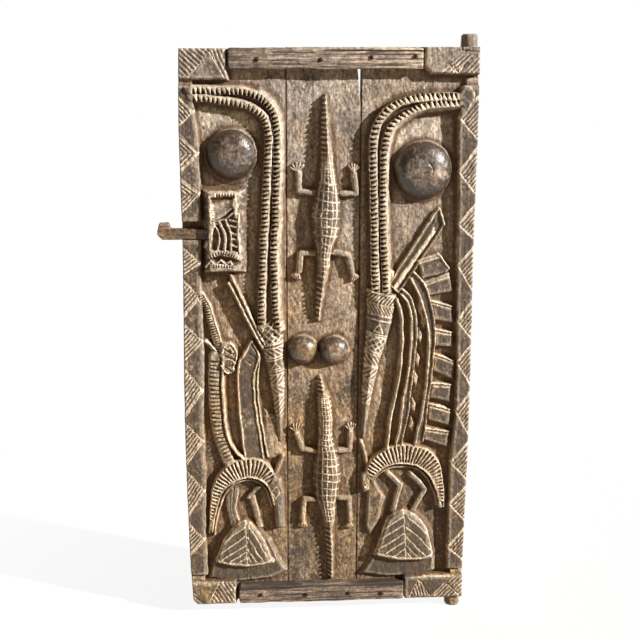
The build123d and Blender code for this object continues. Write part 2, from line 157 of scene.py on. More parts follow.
class Carving:
    """A plank's carved face.

    h is the height over its ground.  tone is how pale (over 0) or oily and dark (under 0) the surface is,
    and in places it holds painted shade and painted highlights; shine how polished it is, and rough how rough
    it is left.
    """

    def __init__(self, x, z):
        wave_x = 1.1 * lumps(x, z, 24, 29, 1) + 0.75 * lumps(x, z, 9, 10, 2)
        wave_z = 1.1 * lumps(x, z, 26, 22, 3) + 0.75 * lumps(x, z, 10, 9, 4)
        self.x, self.z = (x + wave_x).ravel(), (z + wave_z).ravel()
        self.h = np.zeros(x.size)
        self.tone = np.zeros(x.size)
        self.shine = np.zeros(x.size)
        self.rough = np.ones(x.size)

    def near(self, points, pad, level):
        """The points of the face near a drawing, and where the drawing has them at that level."""
        p = np.array(points, float)
        (x0, z0), (x1, z1) = p.min(0) - pad - MARGIN, p.max(0) + pad + MARGIN
        i = np.flatnonzero((self.x > x0) & (self.x < x1) & (self.z > z0) & (self.z < z1))
        shift = (READ_LEVEL - level) / EYE_AWAY
        return i, self.x[i] + (EYE_X - self.x[i]) * shift, self.z[i] + (EYE_Z - self.z[i]) * shift

    def stains_and_painted_light(self, *patches):
        """Darker or paler patches of the ground, each a centre, two radii and a tone: stains, and some
        painted light and shadow.
        """
        for cx, cz, rx, rz, tone in patches:
            self.tone += tone * np.exp(-((self.x - cx) / rx) ** 2 - ((self.z - cz) / rz) ** 2)

    def lift(self, i, height):
        """Raise points to a height."""
        self.h[i] = np.maximum(self.h[i], height)

    def dye(self, i, cover, tone):
        """Bring points nearer to a tone."""
        self.tone[i] += (tone - self.tone[i]) * cover

    def form(self, points, height, slope, tone, level=None, bulge=0.0):
        """A form with a flat or bulging top and sloping sides."""
        i, x, z = self.near(points, slope, height if level is None else level)
        d = inside(points, x, z)
        cover = ease(d / slope + 0.5)
        top = height + bulge * (1 - np.exp(-np.maximum(d, 0) / 12))
        self.h[i] += np.maximum(top - self.h[i], 0) * cover
        self.dye(i, ease(d / 3 + 0.5), tone)

    def sink(self, points, height, slope, tone):
        """A sunk place with its floor at that height."""
        i, x, z = self.near(points, slope, height)
        cover = ease(inside(points, x, z) / slope + 0.5)
        self.h[i] -= np.maximum(self.h[i] - height, 0) * cover
        self.dye(i, cover, tone)

    def paint(self, points, tone, soft=3, level=READ_LEVEL):
        """A patch of one tone."""
        i, x, z = self.near(points, soft, level)
        self.dye(i, ease(inside(points, x, z) / soft + 0.5), tone)

    def hip(self, x0, x1, z0, z1, insets, height, tone):
        """A block whose four sides slope in from its foot: insets at left, right, bottom and top."""
        box = [(x0, z0), (x1, z0), (x1, z1), (x0, z1)]
        i, x, z = self.near(box, 2, height / 2)
        left, right, low, high = insets
        rise = np.minimum.reduce([(x - x0) / left, (x1 - x) / right, (z - z0) / low, (z1 - z) / high])
        self.lift(i, height * np.clip(rise, 0, 1))
        self.dye(i, (rise > 0) * 1.0, tone)

    def ridge(self, points, height, left, right, crest, tone, power=1.0, level=None, smooth=True,
              right_power=None):
        """A ridge along a line: crest is half its flat top's width, left and right are its slopes' widths."""
        path = curve(points) if smooth else np.array(points, float)
        i, x, z = self.near(path, max(left, right) + crest, height if level is None else level)
        side = along(path, x, z)[1]
        d = np.abs(side) - crest
        t = np.clip(1 - d / np.where(side > 0, right, left), 0, 1)
        t = t ** np.where(side > 0, power if right_power is None else right_power, power)
        self.lift(i, height * t)
        self.dye(i, ease(1.4 - np.maximum(d, 0) / 2), min(tone, 0.5 * tone))

    def groove(self, points, width, depth, tone, level=READ_LEVEL, smooth=True, closed=False):
        """A cut along a line."""
        if closed:
            points = list(points) + [points[0]]
        path = curve(points) if smooth else np.array(points, float)
        i, x, z = self.near(path, width, level)
        side = np.abs(along(path, x, z)[1])
        t = ease(1.5 - 2.4 * side / width)
        self.h[i] -= depth * t
        self.dye(i, t, tone)

    def line(self, points, tone, width, level=READ_LEVEL, smooth=True):
        """A pale line: colour only, for worn edges and in places a painted highlight."""
        self.groove(points, width, 0.0, 0.5 * tone, level, smooth)

    def teeth(self, points, low, high, pitch, depth, gap, tone, tips, level, lean=0.0, start=0.0):
        """Notches across a line, between two distances to its right."""
        path = curve(points)
        i, x, z = self.near(path, max(abs(low), abs(high)) + 2, level)
        s, side = along(path, x, z)
        total = np.sum(np.hypot(*np.diff(path, axis=0).T))
        on = ease((side - low) / 2.0 + 0.5) * ease((high - side) / 2.5 + 0.5)
        on *= (s > 0.5) & (s < total - 0.5)
        phase = ((s + lean * side + start) / pitch + 0.14 * lumps(x, z, 13, 13, 6)) % 1
        out = np.clip((side - low) / (high - low), 0, 1)
        wide = gap * (0.12 + 1.6 * out)
        cut = ease((wide / 2 - np.abs(phase - 0.5)) * pitch / 1.5 + 0.5) * on
        self.h[i] -= depth * cut * (0.6 + 0.4 * out)
        # the cuts take the dark tone: painted shade in the notches; the tips between them take the pale one
        self.dye(i, cut, tone)
        self.dye(i, (1 - cut) * on, tips)

    def rungs(self, points, region, pitch, depth, gap, tone, tips, edge):
        """Notches across a line, kept inside a region and off its edge."""
        i, x, z = self.near(region, 2, 18)
        s = along(curve(points), x, z)[0]
        on = ease((inside(region, x, z) - edge) / 2.0 + 0.5)
        cut = ease((gap / 2 - np.abs(s / pitch % 1 - 0.5)) * pitch / 1.8 + 0.5) * on
        self.h[i] -= depth * cut
        # the cuts take the dark tone: painted shade in the notches; the rungs between them take the pale one
        self.dye(i, cut, tone)
        self.dye(i, (1 - cut) * on, tips)

    def hatch(self, region, towards, pitch=HATCH_PITCH, depth=HATCH_DEPTH, width=HATCH_WIDTH, tone=PALE_CUT,
              ground=-0.9):
        """Parallel cuts that run in one direction, kept inside a region with a ground of its own tone."""
        i, x, z = self.near(region, 2, READ_LEVEL)
        d = inside(region, x, z)
        self.dye(i, ease(d / 3 + 0.5), ground)
        u = np.array(towards, float) / np.hypot(*towards)
        q = (u[0] * (z - region[0][1]) - u[1] * (x - region[0][0])) / pitch + 0.12 * lumps(x, z, 30, 30, 5)
        t = ease(1.5 - 2.4 * np.abs(q % 1 - 0.5) * pitch / width) * ease((d - 1.0) / 2 + 0.5)
        self.h[i] -= depth * t
        self.dye(i, t, tone)

    def roughen(self, region, height, tone):
        """Worn and chipped surfaces inside a region."""
        i, x, z = self.near(region, 0, READ_LEVEL)
        on = ease(inside(region, x, z) / 8)
        chips = 0.6 * lumps(x, z, 5.5, 6.5, 7) + 0.4 * lumps(x, z, 10, 13, 10)
        self.h[i] += height * chips * on * (self.h[i] > 8)
        self.tone[i] += tone * on * (0.5 * chips + 0.5 * lumps(x, z, 4.5, 5, 12))

    def dome(self, cx, cz, radius, height, tone, shine, fullness=3.2):
        """A polished, speckled dome, with painted shade at its lower left and a painted highlight along its
        rim at the upper right.
        """
        box = [(cx - radius, cz - radius), (cx + radius, cz + radius)]
        i, x, z = self.near(box, 10, height * 0.4)
        d = np.hypot(x - cx, z - cz)
        self.lift(i, height * np.maximum(1 - (d / radius) ** fullness, 0) ** 0.62)
        on = ease((radius - d) / 3 + 0.5)
        self.dye(i, on, tone)
        self.shine[i] += (shine - self.shine[i]) * on
        self.rough[i] *= 1 - 0.7 * on
        speck = 0.6 * lumps(x, z, 5, 4, 9) + 0.4 * lumps(x, z, 11, 9, 11)
        fleck = lumps(x, z, 3.4, 3.6, 13)
        crown = 0.5 * ease(1.3 - d / (0.62 * radius)) - 0.3 * ease(d / radius * 3 - 2)
        self.tone[i] += on * (0.18 * speck + 0.24 * fleck + crown)
        self.h[i] += on * 0.35 * speck
        # painted shade: the dome's lower left, away from the light, is darkened
        shade = ease((0.25 * radius - (x - cx) - (z - cz)) / radius - 0.35) * ease((d / radius - 0.55) * 4)
        self.dye(i, 0.8 * shade * on, -1.3)
        # painted highlight: a pale line round the rim at the upper right, where the light falls
        rim = ease(1.3 - np.abs(d - radius + 1.5) / 2.2) * ease((x - cx + z - cz) / radius + 0.4)
        self.dye(i, 0.8 * rim, 1.0)

    def body(self, stations, tone, power, keel=0.0, round_top=False, flat_end=0.0):
        """A tapering body along stations x, z, half width, height.

        Its end is round unless flat_end is given: then it is cut off straight, with that lean.
        """
        st = np.array(stations, float)
        path = curve(st[:, :2])
        i, x, z = self.near(path, st[:, 2].max() + 2, st[:, 3].max() * 0.6)
        s, side = along(path, x, z)
        marks = along(path, st[:, 0], st[:, 1])[0]
        half, high = np.interp(s, marks, st[:, 2]), np.interp(s, marks, st[:, 3])
        t = np.clip(1 - np.abs(side) / half, 0, 1)
        on = ease((half - np.abs(side)) / 2 + 0.5)
        if round_top:
            u = np.clip(np.abs(side) / half, 0, 1)
            thin = ease((18 - half) / 5)
            t = (1 - thin) * (1 - u ** 2.2) + thin * (1 - u) ** 1.3
        if flat_end:
            last = path[-1] - path[-2]
            last /= np.hypot(*last)
            past = (x - path[-1][0]) * last[0] + (z - path[-1][1]) * last[1] + flat_end * side
            t, on = t * ease(0.5 - past / 3), on * ease(0.5 - past / 3)
        self.lift(i, high * t ** power + keel * np.clip(1 - np.abs(side) / 3, 0, 1) * (t > 0))
        self.dye(i, on, tone)
        return i, s, side, half, on


def zigzag(c, side, outer, inner, inner_edge, styles):
    """The border's triangles: hatched ones stand on the outer edge, plain ones on the inner edge."""
    edge = side * 360
    for k, apex in enumerate(inner):
        if apex is None:
            continue
        a, mid, b = [(edge, z) for z in (outer[k], (outer[k] + outer[k + 1]) / 2, outer[k + 1])]
        tip = (side_line(inner_edge, apex) + side * 1.5, apex)
        cuts = {"<": [([a, tip, mid], a, tip), ([mid, tip, b], b, tip)], "\\": [([a, tip, b], a, tip)],
                "/": [([a, tip, b], b, tip) if side < 0 else ([a, tip, b], tip, a)]}[styles.get(k, "/")]
        for region, start, end in cuts:
            c.hatch(region, np.subtract(end, start), tone=PALE_CUT if side < 0 else 0.8, ground=-1.0)
        for end in (a, b):
            c.groove([end, tip], 4.4, 1.4, 1.3, smooth=False)


def paw(c, x, z, towards, spread):
    """A paw with spread fingers."""
    fingers, reach = 5, 19
    base = math.atan2(towards[1], towards[0])
    for k in range(fingers):
        turn = base + math.radians(spread) * (k / (fingers - 1) - 0.5)
        tip = (x + reach * math.cos(turn), z + reach * math.sin(turn))
        c.ridge([(x, z), tip], 11, 1.8, 1.8, 0.8, tone=0.5, power=0.5, level=6)


def cone(c, stations, bands, lean):
    """A tapering body with rings, and with cuts of its own in each band between them.

    A band is its start, its end and a sign for its cuts.  A capital sign leaves out the ring at its end.
    """
    i, s, side, _, on = c.body(stations, tone=-1.0, power=0.3, flat_end=lean)
    s = s + lean * side
    lines = np.zeros(s.shape)
    for low, high, kind in bands:
        inner = ease((s - low) / 2) * ease((high - s) / 2)
        middle = (low + high) / 2
        for ring in (low, high)[:1 if kind.isupper() else 2]:
            lines = np.maximum(lines, ease(1.25 - np.abs(s - ring) / 2.1))
        ways = {"x": [(1, 16.215), (-1, 16.215)], "/": [(1, 12.69)], "v": [(-1, 12.69)]}.get(kind.lower(), [])
        for way, pitch in ways:
            q = (s - low - way * side) / pitch
            lines = np.maximum(lines, inner * ease(1.3 - np.abs(q % 1 - 0.5) * pitch / 2.6))
        if kind == "w":
            q = (side - np.where(s > middle, 1, -1) * 0.75 * (s - middle)) / 8.4
            lines = np.maximum(lines, inner * ease(1.2 - np.abs(q % 1 - 0.5) * 8.4 / 2.0))
            lines = np.maximum(lines, ease(1.15 - np.abs(s - middle) / 1.8))
        if kind == "^":
            base, tip = low + 0.2 * (high - low), high - 0.2 * (high - low)
            width = 11 * (tip - s) / (tip - base)
            edge = np.minimum(np.abs(np.abs(side) - width), np.where(np.abs(side) < 11, np.abs(s - base), 99))
            lines = np.maximum(lines, ease(1.15 - edge / 2.0) * (s > base - 2) * (s < tip + 2))
    lines = lines * on * (0.85 + 0.15 * lumps(c.x[i], c.z[i], 7, 7, 4))
    c.h[i] += 1.0 * lines - 1.0 * on
    c.dye(i, lines, 1.5)


def crocodile(c, stations, legs, paws, bands):
    """A crocodile seen from above: bands are how far along it the scales' pitch changes, and to what."""
    for leg in legs:
        c.ridge(leg, 14, 3.5, 3.5, 4.2, tone=-0.35, power=0.4, level=8, smooth=False)
    for x, z, towards, spread in paws:
        paw(c, x, z, towards, spread)
    i, s, side, half, on = c.body(stations, tone=-0.85, power=0.75, keel=0.8, round_top=True)
    marks = np.array([m for m, _ in bands], float)
    pitches = np.array([p for _, p in bands], float)
    fine = np.linspace(0, marks[-1], 600)
    phase = np.cumsum(1 / np.interp(fine, marks, pitches)) * (fine[1] - fine[0])
    x, z = c.x[i], c.z[i]
    q = np.interp(s, fine, phase) + 0.06 * side / 10 + 0.14 * lumps(x, z, 17, 13, 3)
    pitch = np.interp(s, marks, pitches)
    across = ease(1.2 - 2 * np.abs(q % 1 - 0.5) * pitch / 3.6) * on
    rows = np.zeros(side.shape)
    for lane in (-0.68, -0.36, 0.0, 0.36, 0.68):
        off = np.abs(side)
        if lane:
            off = np.abs(side + 1.6 * lumps(x, z, 9, 26, 7) - lane * np.maximum(half, 7))
        keep = (half > 15) | (lane == 0) | ((half > 10) & (abs(lane) > 0.5))
        rows = np.maximum(rows, ease(1.2 - 2 * off / 3.4) * keep)
    lines = np.maximum(across, rows * on)
    keel = ease(1.2 - 2 * np.abs(side) / 5)
    narrow = ease((18 - half) / 5) * on
    c.h[i] -= 1.9 * (1 - lines) * (1 - keel) * on * (1 - narrow)
    # the scale lines are half as pale left of the keel: painted shade on the side away from the light
    c.dye(i, lines * np.where(side > -8, 1.0, 0.5) * (1 - narrow), 0.9)
    # the tail and the snout: a notched crest, plain to its right
    tooth = ease(1.5 - 2 * np.abs(q % 1 - 0.5) * pitch / 5.2)
    c.dye(i, narrow * ease((side + 2) / 3), -0.65)
    # left of the crest the notches are painted darkest: painted shade on the side away from the light
    left = narrow * ease((1.5 - side) / 3)
    c.dye(i, left * (1 - tooth), -1.3)
    c.dye(i, narrow * tooth * ease((3 - side) / 3), 0.9)
    c.h[i] -= 5.0 * (1 - tooth) * narrow * ease((2.5 - side) / 3) * ease((side + 0.9 * half) / 4)
    notch = ease((0.25 - np.abs(q * 2 % 1 - 0.5)) * pitch / 3 + 0.5) * ease(1.2 - np.abs(side) / 4)
    c.h[i] -= 2.6 * notch * on * (1 - narrow)


# ---------------------------------------------------------------- what is carved on each plank
# The inner edges of the two borders
LEFT_RIM = [(-308, 78), (-311, 180), (-307, 350), (-311, 480), (-306, 650), (-309, 850), (-306, 950),
            (-305, 1070), (-308, 1180), (-316, 1250), (-318, 1303)]
RIGHT_RIM = [(308, 78), (308, 240), (309, 370), (318, 500), (317, 620), (315, 740), (311, 870), (310, 1000),
             (308, 1080), (304, 1180), (306, 1250), (306, 1285), (316, 1303)]


def mound(c, foot, crown, veins, base_lines):
    """A leaf-shaped mound on a sloping skirt."""
    c.form(foot, 12, slope=12, tone=-1.2, level=4)
    c.form(crown, 24, slope=6, tone=-0.85, level=22, bulge=2)
    c.groove(list(crown) + [crown[0]], 4.0, 0.6, 0.8, level=23)
    for vein in veins:
        c.groove(vein, 3.8, 1.4, 1.4, level=24)
    for base in base_lines:
        c.groove(base, 4.2, 1.2, 1.3, level=24)


def carve_left(c):
    """The left plank: border, arch, dome, lock housing, slanting bar, beaked animal, antelope and mound."""
    c.stains_and_painted_light((-245, 1235, 60, 32, 0.5), (-190, 1225, 25, 30, 0.2), (-285, 820, 25, 25, -0.3),
            (-210, 740, 30, 60, -0.3), (-125, 300, 16, 90, 0.25), (-290, 175, 14, 40, 0.3),
            (-130, 130, 30, 60, 0.15))
    c.form(LEFT_RIM + [(-380, 1303), (-380, 78)], 20, slope=4, tone=-0.85)
    zigzag(c, -1, [1290, 1203, 1098, 1000, 935, 855, 748, 638, 495, 370, 230, 125],
           [1245, 1147, 1055, None, 890, 805, 697, 572, 440, 308, 178], LEFT_RIM, {0: "\\", 1: "<", 2: "<"})
    # a pale line along the border's inner edge, which faces the light: edge wear and painted highlight
    c.line([(x + 1.5, z) for x, z in LEFT_RIM], 0.8, 3.0)
    c.form([(-380, 1300), (-318, 1300), (-318, 1316), (-380, 1316)], 13, slope=4, tone=0.35)
    c.form([(-380, 1420), (-240, 1420), (-239, 1340), (-237, 1316), (-380, 1316)], 23, slope=8, tone=-0.55)
    c.paint([(-326, 1322), (-278, 1377), (-244, 1322)], -0.6)
    c.hatch([(-360, 1400), (-270, 1400), (-278, 1378), (-326, 1323), (-360, 1323)], (1, -1), 9.3, 2.2, 3.8,
            ground=-1.1)
    c.hatch([(-276, 1378), (-268, 1400), (-240, 1400), (-240, 1326), (-246, 1324)], (30, -62), 8.5, 2.0, 3.6,
            ground=-0.8)
    c.groove([(-327, 1322), (-278, 1378), (-245, 1322)], 3.6, 2.0, 0.85, smooth=False)
    c.form([(-380, -20), (-236, -20), (-236, 60), (-380, 60)], 23, slope=6, tone=-0.5)
    c.form([(-380, 60), (-316, 60), (-316, 80), (-380, 80)], 14, slope=4, tone=0.3)
    c.hatch([(-352, 44), (-312, 0), (-352, 0)], (40, -34), 9, 2.0, 3.8)
    c.hatch([(-305, 4), (-277, 62), (-236, 62), (-236, 4)], (30, -52), 9, 2.0, 3.8)
    c.groove([(-307, 2), (-277, 60)], 3.6, 2.0, 0.85, smooth=False)
    # arches
    outer = [(-324, 1300), (-260, 1299), (-200, 1296), (-165, 1286), (-140, 1266), (-125, 1238), (-118, 1200),
             (-117, 1150), (-120, 1060), (-122, 1000), (-126, 900), (-124, 800), (-119, 722)]
    inner = [(-318, 1284), (-260, 1277), (-200, 1266), (-165, 1249), (-146, 1228), (-138, 1190), (-138, 1150),
             (-143, 1060), (-147, 1000), (-152, 900), (-155, 840), (-158, 728)]
    # a low ridge painted dark along the valley between the arches: painted shade between them
    c.ridge([(-320, 1290), (-200, 1280), (-152, 1256), (-129, 1195), (-130, 1100), (-137, 950), (-139, 850),
             (-141, 735)], 10, 11, 11, 7, tone=-0.7)
    c.ridge(outer[:4], 27, 7, 15, 1.2, tone=0.45, right_power=0.04)
    c.ridge(outer[3:], 27, 14, 15, 1.2, tone=0.45, right_power=0.04)
    c.ridge(inner, 24, 9, 15, 1.2, tone=-0.3, right_power=0.04)
    c.teeth(outer, 1.0, 15, 10.75, 13, gap=0.45, tone=-0.9, tips=1.1, level=22, lean=-0.25)
    c.teeth(inner, 1.0, 15.5, 10.75, 13, gap=0.45, tone=-0.9, tips=1.1, level=20, start=4, lean=-0.25)
    c.line(outer, 0.95, 3.2, 26)
    c.line(inner, 0.95, 3.2, 23)
    # dome
    c.dome(-231, 1142, 68, 8, -0.1, 0.1)
    c.dome(-231, 1146, 61, 40, -0.85, 0.9)
    # lock housing
    c.hip(-304, -197, 862, 1064, (17, 25, 9, 9), 34, tone=-0.35)
    c.paint([(-222, 872), (-199, 866), (-199, 1060), (-222, 1050)], -0.5, 8)
    # painted shade: the housing's left flank, which faces away from the light, is painted dark
    c.paint([(-304, 868), (-287, 876), (-287, 1050), (-304, 1058)], -0.8, 5)
    # the wedge under the top bar is sunk and painted dark as well: painted shade under the bar
    c.sink([(-284, 1030), (-232, 1041), (-226, 1048), (-284, 1044)], 22, 3, tone=-0.7)
    c.teeth([(-272, 1050), (-226, 1052)], -6, 5, 6.6, 5, gap=0.5, tone=-0.7, tips=0.7, level=34)
    c.line([(-300, 1042), (-290, 1054), (-262, 1059), (-226, 1057), (-206, 1044)], 0.9, 3, 34)
    c.sink([(-276, 1000), (-230, 1021), (-229, 1039), (-278, 1029)], 29, 3, tone=-0.05)
    c.teeth([(-280, 1043), (-279, 985)], -5, 5, 6.5, 3.5, gap=0.45, tone=-0.3, tips=0.75, level=34)
    c.sink([(-275, 986), (-250, 991), (-227, 1006), (-227, 999), (-250, 984)], 24, 2.5, tone=-0.8)
    c.sink([(-275, 989), (-250, 1003), (-229, 1019), (-229, 1012), (-250, 996)], 23, 2.5, tone=-0.9)
    c.line([(-276, 988), (-250, 995), (-229, 1009)], 0.9, 3.0, 34)
    c.sink([(-284, 922), (-216, 916), (-215, 986), (-229, 998), (-272, 980), (-280, 960)], 23, 3, tone=-0.6)
    c.form([(-303, 926), (-279, 966), (-283, 914)], 31, 4, tone=-0.1)
    c.line([(-303, 926), (-279, 966)], 1.0, 3, 31)
    c.ridge([(-275, 979), (-266, 965), (-263, 945), (-268, 920)], 32.2, 2.2, 3, 1.4, tone=0.8)
    c.ridge([(-262, 984), (-253, 965), (-249, 945), (-252, 918)], 34, 2.2, 2.2, 3.0, tone=0.8)
    c.ridge([(-248, 990), (-239, 968), (-235, 945), (-237, 918)], 34, 2.2, 2.2, 1.6, tone=0.8)
    for z, drop in ((990, 4), (975, 2), (959, 5), (946, 3), (931, 6)):
        c.ridge([(-237, z), (-217, z - drop)], 32, 2.5, 2.5, 2.2, tone=0.6)
    c.ridge([(-216, 1002), (-219, 960), (-215, 912)], 34, 3, 12, 1.4, tone=0.9)
    c.ridge([(-284, 1046), (-283, 1010), (-286, 975)], 34, 6, 3, 1.0, tone=0.8)
    c.ridge([(-224, 1046), (-221, 1020), (-225, 1004)], 34, 3, 12, 1.2, tone=0.9)
    c.teeth([(-291, 909), (-262, 918), (-240, 914), (-215, 901)], 0, 11, 7.0, 6, gap=0.5, tone=-0.5,
            tips=0.65, level=34)
    c.sink([(-291, 900), (-262, 907), (-240, 903), (-214, 892), (-214, 884), (-292, 890)], 20, 3, tone=-0.75)
    c.ridge([(-297, 878), (-286, 893), (-276, 885), (-262, 893), (-250, 885), (-240, 891), (-226, 870)], 33,
            4, 4, 1.5, tone=0.75, smooth=False)
    c.teeth([(-282, 881), (-232, 881)], -5, 5, 6.3, 4, gap=0.5, tone=-0.5, tips=0.6, level=33)
    c.roughen([(-310, 855), (-190, 855), (-190, 1072), (-310, 1072)], 0.9, 0.5)
    # slanting bar
    bar = [(-245, 836), (-237, 859), (-158, 682), (-166, 668)]
    c.form(bar, 13, slope=3.5, tone=-0.6)
    c.ridge([(-243, 838), (-204, 757), (-163, 674)], 21, 4, 5, 1.2, tone=0.9)
    c.ridge([(-237, 857), (-199, 772), (-159, 684)], 20, 4, 4, 1.0, tone=0.9)
    # cone under the arches
    cone(c, [(-120, 436, 4, 10), (-123, 520, 12, 20), (-128, 600, 18, 24), (-134, 650, 24, 25),
             (-140, 695, 28, 25), (-142, 725, 29, 22), (-143, 750, 29, 9)],
         [(66, 118, "/"), (121, 146, "v"), (149, 175, "/"), (183, 212, "^"), (218, 242, "v"),
          (251, 316, "X")], lean=-0.1)
    # beaked animal
    neck = [(-311, 814), (-297, 785), (-285, 745), (-274, 705), (-264, 664)]
    c.ridge([(x - 1, z) for x, z in neck], 15, 4, 5, 6.5, tone=-0.2, power=0.6)
    c.teeth([(x + 5, z) for x, z in neck], 1.5, 14, 6.4, 5, gap=0.5, tone=-0.9, tips=0.9, level=15)
    c.ridge([(x + 7, z) for x, z in neck], 17, 2.2, 2.2, 0.8, tone=1.2)
    c.form([(-264, 694), (-240, 690), (-228, 672), (-226, 648), (-234, 624), (-246, 612), (-258, 622),
            (-268, 645), (-270, 668)], 17, slope=6, tone=-0.5, bulge=2)
    for curl in ([(-262, 664), (-256, 682), (-242, 688), (-230, 674), (-228, 652), (-236, 628)],
                 [(-252, 672), (-244, 678), (-238, 668), (-244, 658)],
                 [(-262, 640), (-254, 648), (-240, 646), (-231, 636)],
                 [(-266, 634), (-256, 618), (-244, 613), (-234, 622)]):
        c.ridge(curl, 21, 2.2, 2.2, 1.0, tone=1.3)
    for cut in ([(-258, 676), (-236, 662)], [(-254, 657), (-231, 645)], [(-266, 638), (-238, 616)],
                [(-250, 632), (-232, 634)]):
        c.groove(cut, 4.0, 3.0, -0.6, level=18)
    c.line([(-262, 630), (-248, 616), (-236, 622)], 0.9, 3, 18)
    c.ridge([(-301, 695), (-284, 676), (-262, 648)], 15, 5, 5, 2.5, tone=0.75)
    c.groove([(-298, 690), (-282, 672), (-264, 648)], 3.4, 2.5, -0.5, level=15)
    # neck of rungs
    c.ridge([(-280, 656), (-281, 550), (-273, 460), (-250, 385)], 15, 6, 6, 11, tone=0.1, power=0.6)
    c.teeth([(-280, 650), (-281, 550), (-273, 460), (-250, 388)], -13, 13, 10.4, 5, gap=0.45, tone=-0.6,
            tips=0.45, level=14)
    c.ridge([(-260, 655), (-262, 560), (-257, 480), (-243, 425), (-214, 390)], 19, 5, 4, 2.0, tone=0.9)
    # standing figure
    c.form([(-190, 692), (-207, 668), (-221, 640), (-225, 560), (-219, 480), (-210, 388), (-158, 388),
            (-166, 450), (-176, 520), (-181, 580), (-178, 620), (-170, 652), (-182, 674)], 12, slope=6,
           tone=-0.8)
    c.ridge([(-190, 694), (-212, 656), (-222, 632), (-224, 560), (-218, 480), (-209, 390)], 15.5, 3, 3, 1.0,
            tone=0.9)
    c.ridge([(-190, 694), (-176, 668), (-174, 645), (-184, 615), (-186, 580), (-181, 520), (-172, 450),
             (-163, 392)], 15.5, 2.6, 2.6, 0.9, tone=0.9)
    c.ridge([(-172, 660), (-172, 640), (-176, 600), (-176, 560), (-170, 500), (-160, 440), (-152, 395)], 13,
            2.6, 2.6, 0.9, tone=0.8)
    c.groove([(-206, 645), (-192, 634), (-178, 642)], 3.4, 2, 0.8, level=13)
    c.groove([(-200, 664), (-180, 650)], 3.4, 2, -0.7, level=13)
    c.form([(-160, 520), (-128, 500), (-118, 400), (-150, 392), (-160, 440)], 6, slope=16, tone=0.25)
    # antelope
    back = [(-303, 190), (-299, 270), (-286, 335), (-250, 378), (-200, 392), (-158, 380), (-133, 345),
            (-121, 290), (-114, 206)]
    belly = [(-129, 206), (-137, 268), (-150, 312), (-172, 335), (-205, 341), (-240, 328), (-265, 305),
             (-280, 270), (-290, 230), (-294, 196)]
    hide = np.vstack([curve(back), curve(belly)])
    c.form(hide, 18, slope=6, tone=0.1, bulge=3)
    c.rungs([(-297, 195), (-289, 262), (-275, 315), (-245, 350), (-202, 364), (-165, 356), (-141, 328)],
            np.vstack([curve(back[:7]), curve(belly[2:])]), 8.8, 6, gap=0.5, tone=-0.8, tips=0.6, edge=4.0)
    c.line(back[:8], 0.9, 3.2, 18)
    c.ridge([(x, z - 1) for x, z in belly[1:]], 20, 2.5, 2.5, 1.2, tone=0.85)
    c.ridge([(x + (6 if x < -240 else 0 if x < -180 else -5), z - 7) for x, z in belly[1:]], 12, 2.5, 2.5,
            1.2, tone=0.7)
    c.form([(-152, 322), (-138, 350), (-118, 332), (-113, 300), (-112, 205), (-130, 205), (-136, 262)], 17,
           slope=6, tone=-1.0, bulge=2)
    c.groove([(-142, 300), (-130, 316), (-120, 300), (-130, 283)], 3.2, 2, 0.85, level=20, closed=True,
             smooth=False)
    c.line([(-141, 300), (-130, 208)], 0.8, 3, 19)
    c.ridge([(-133, 352), (-124, 374), (-116, 396)], 14, 5, 5, 2.5, tone=-0.45)
    c.line([(-128, 345), (-113, 392)], 0.7, 3, 14)
    for leg in ([(-245, 312), (-250, 270), (-240, 212)], [(-232, 308), (-240, 262), (-228, 214)]):
        c.ridge(leg, 9, 2.2, 2.2, 5.0, tone=-1.3, power=0.4, level=9)
        for off in (-5.5, 5.5):
            c.line([(x + off, z) for x, z in leg], 1.7, 2.2, 9)
    c.ridge([(-202, 286), (-184, 309), (-172, 315)], 12, 2.4, 2.4, 3.6, tone=-1.1)
    c.line([(-201, 292), (-186, 312)], 0.8, 3, 15)
    c.form([(-200, 290), (-188, 296), (-166, 205), (-180, 205)], 9, slope=4, tone=-0.8, level=10)
    c.line([(-199, 290), (-179, 208)], 1.6, 3.4, 10)
    c.line([(-188, 294), (-167, 208)], 1.2, 2.6, 10)
    # mound
    mound(c, [(-232, 224), (-213, 230), (-192, 222), (-150, 176), (-128, 128), (-106, 90), (-150, 70),
              (-240, 62), (-306, 74), (-294, 120), (-279, 168), (-254, 212)],
          [(-228, 215), (-213, 222), (-196, 215), (-166, 172), (-148, 128), (-139, 108), (-200, 98),
           (-240, 100), (-286, 112), (-282, 128), (-268, 165), (-246, 200)],
          [[(-209, 220), (-207, 170), (-206, 110)], [(-212, 208), (-245, 184), (-268, 158)],
           [(-208, 186), (-240, 163), (-278, 134)], [(-207, 162), (-240, 140), (-270, 120)],
           [(-207, 142), (-228, 128), (-248, 116)], [(-206, 126), (-218, 119), (-228, 113)],
           [(-202, 212), (-182, 176), (-156, 126)], [(-205, 182), (-186, 148), (-166, 114)],
           [(-206, 152), (-194, 132), (-182, 112)], [(-206, 130), (-200, 121), (-195, 112)]],
          [[(-284, 120), (-250, 110), (-200, 106), (-160, 110), (-140, 120)],
           [(-286, 111), (-250, 101), (-200, 97), (-160, 101), (-138, 110)]])
    # the bolt's channel
    channel = (c.x < CHANNEL_END + 1) & (c.z > CHANNEL_LOW - 1.7) & (c.z < CHANNEL_TOP + 0.3)
    c.tone[channel] = -0.25


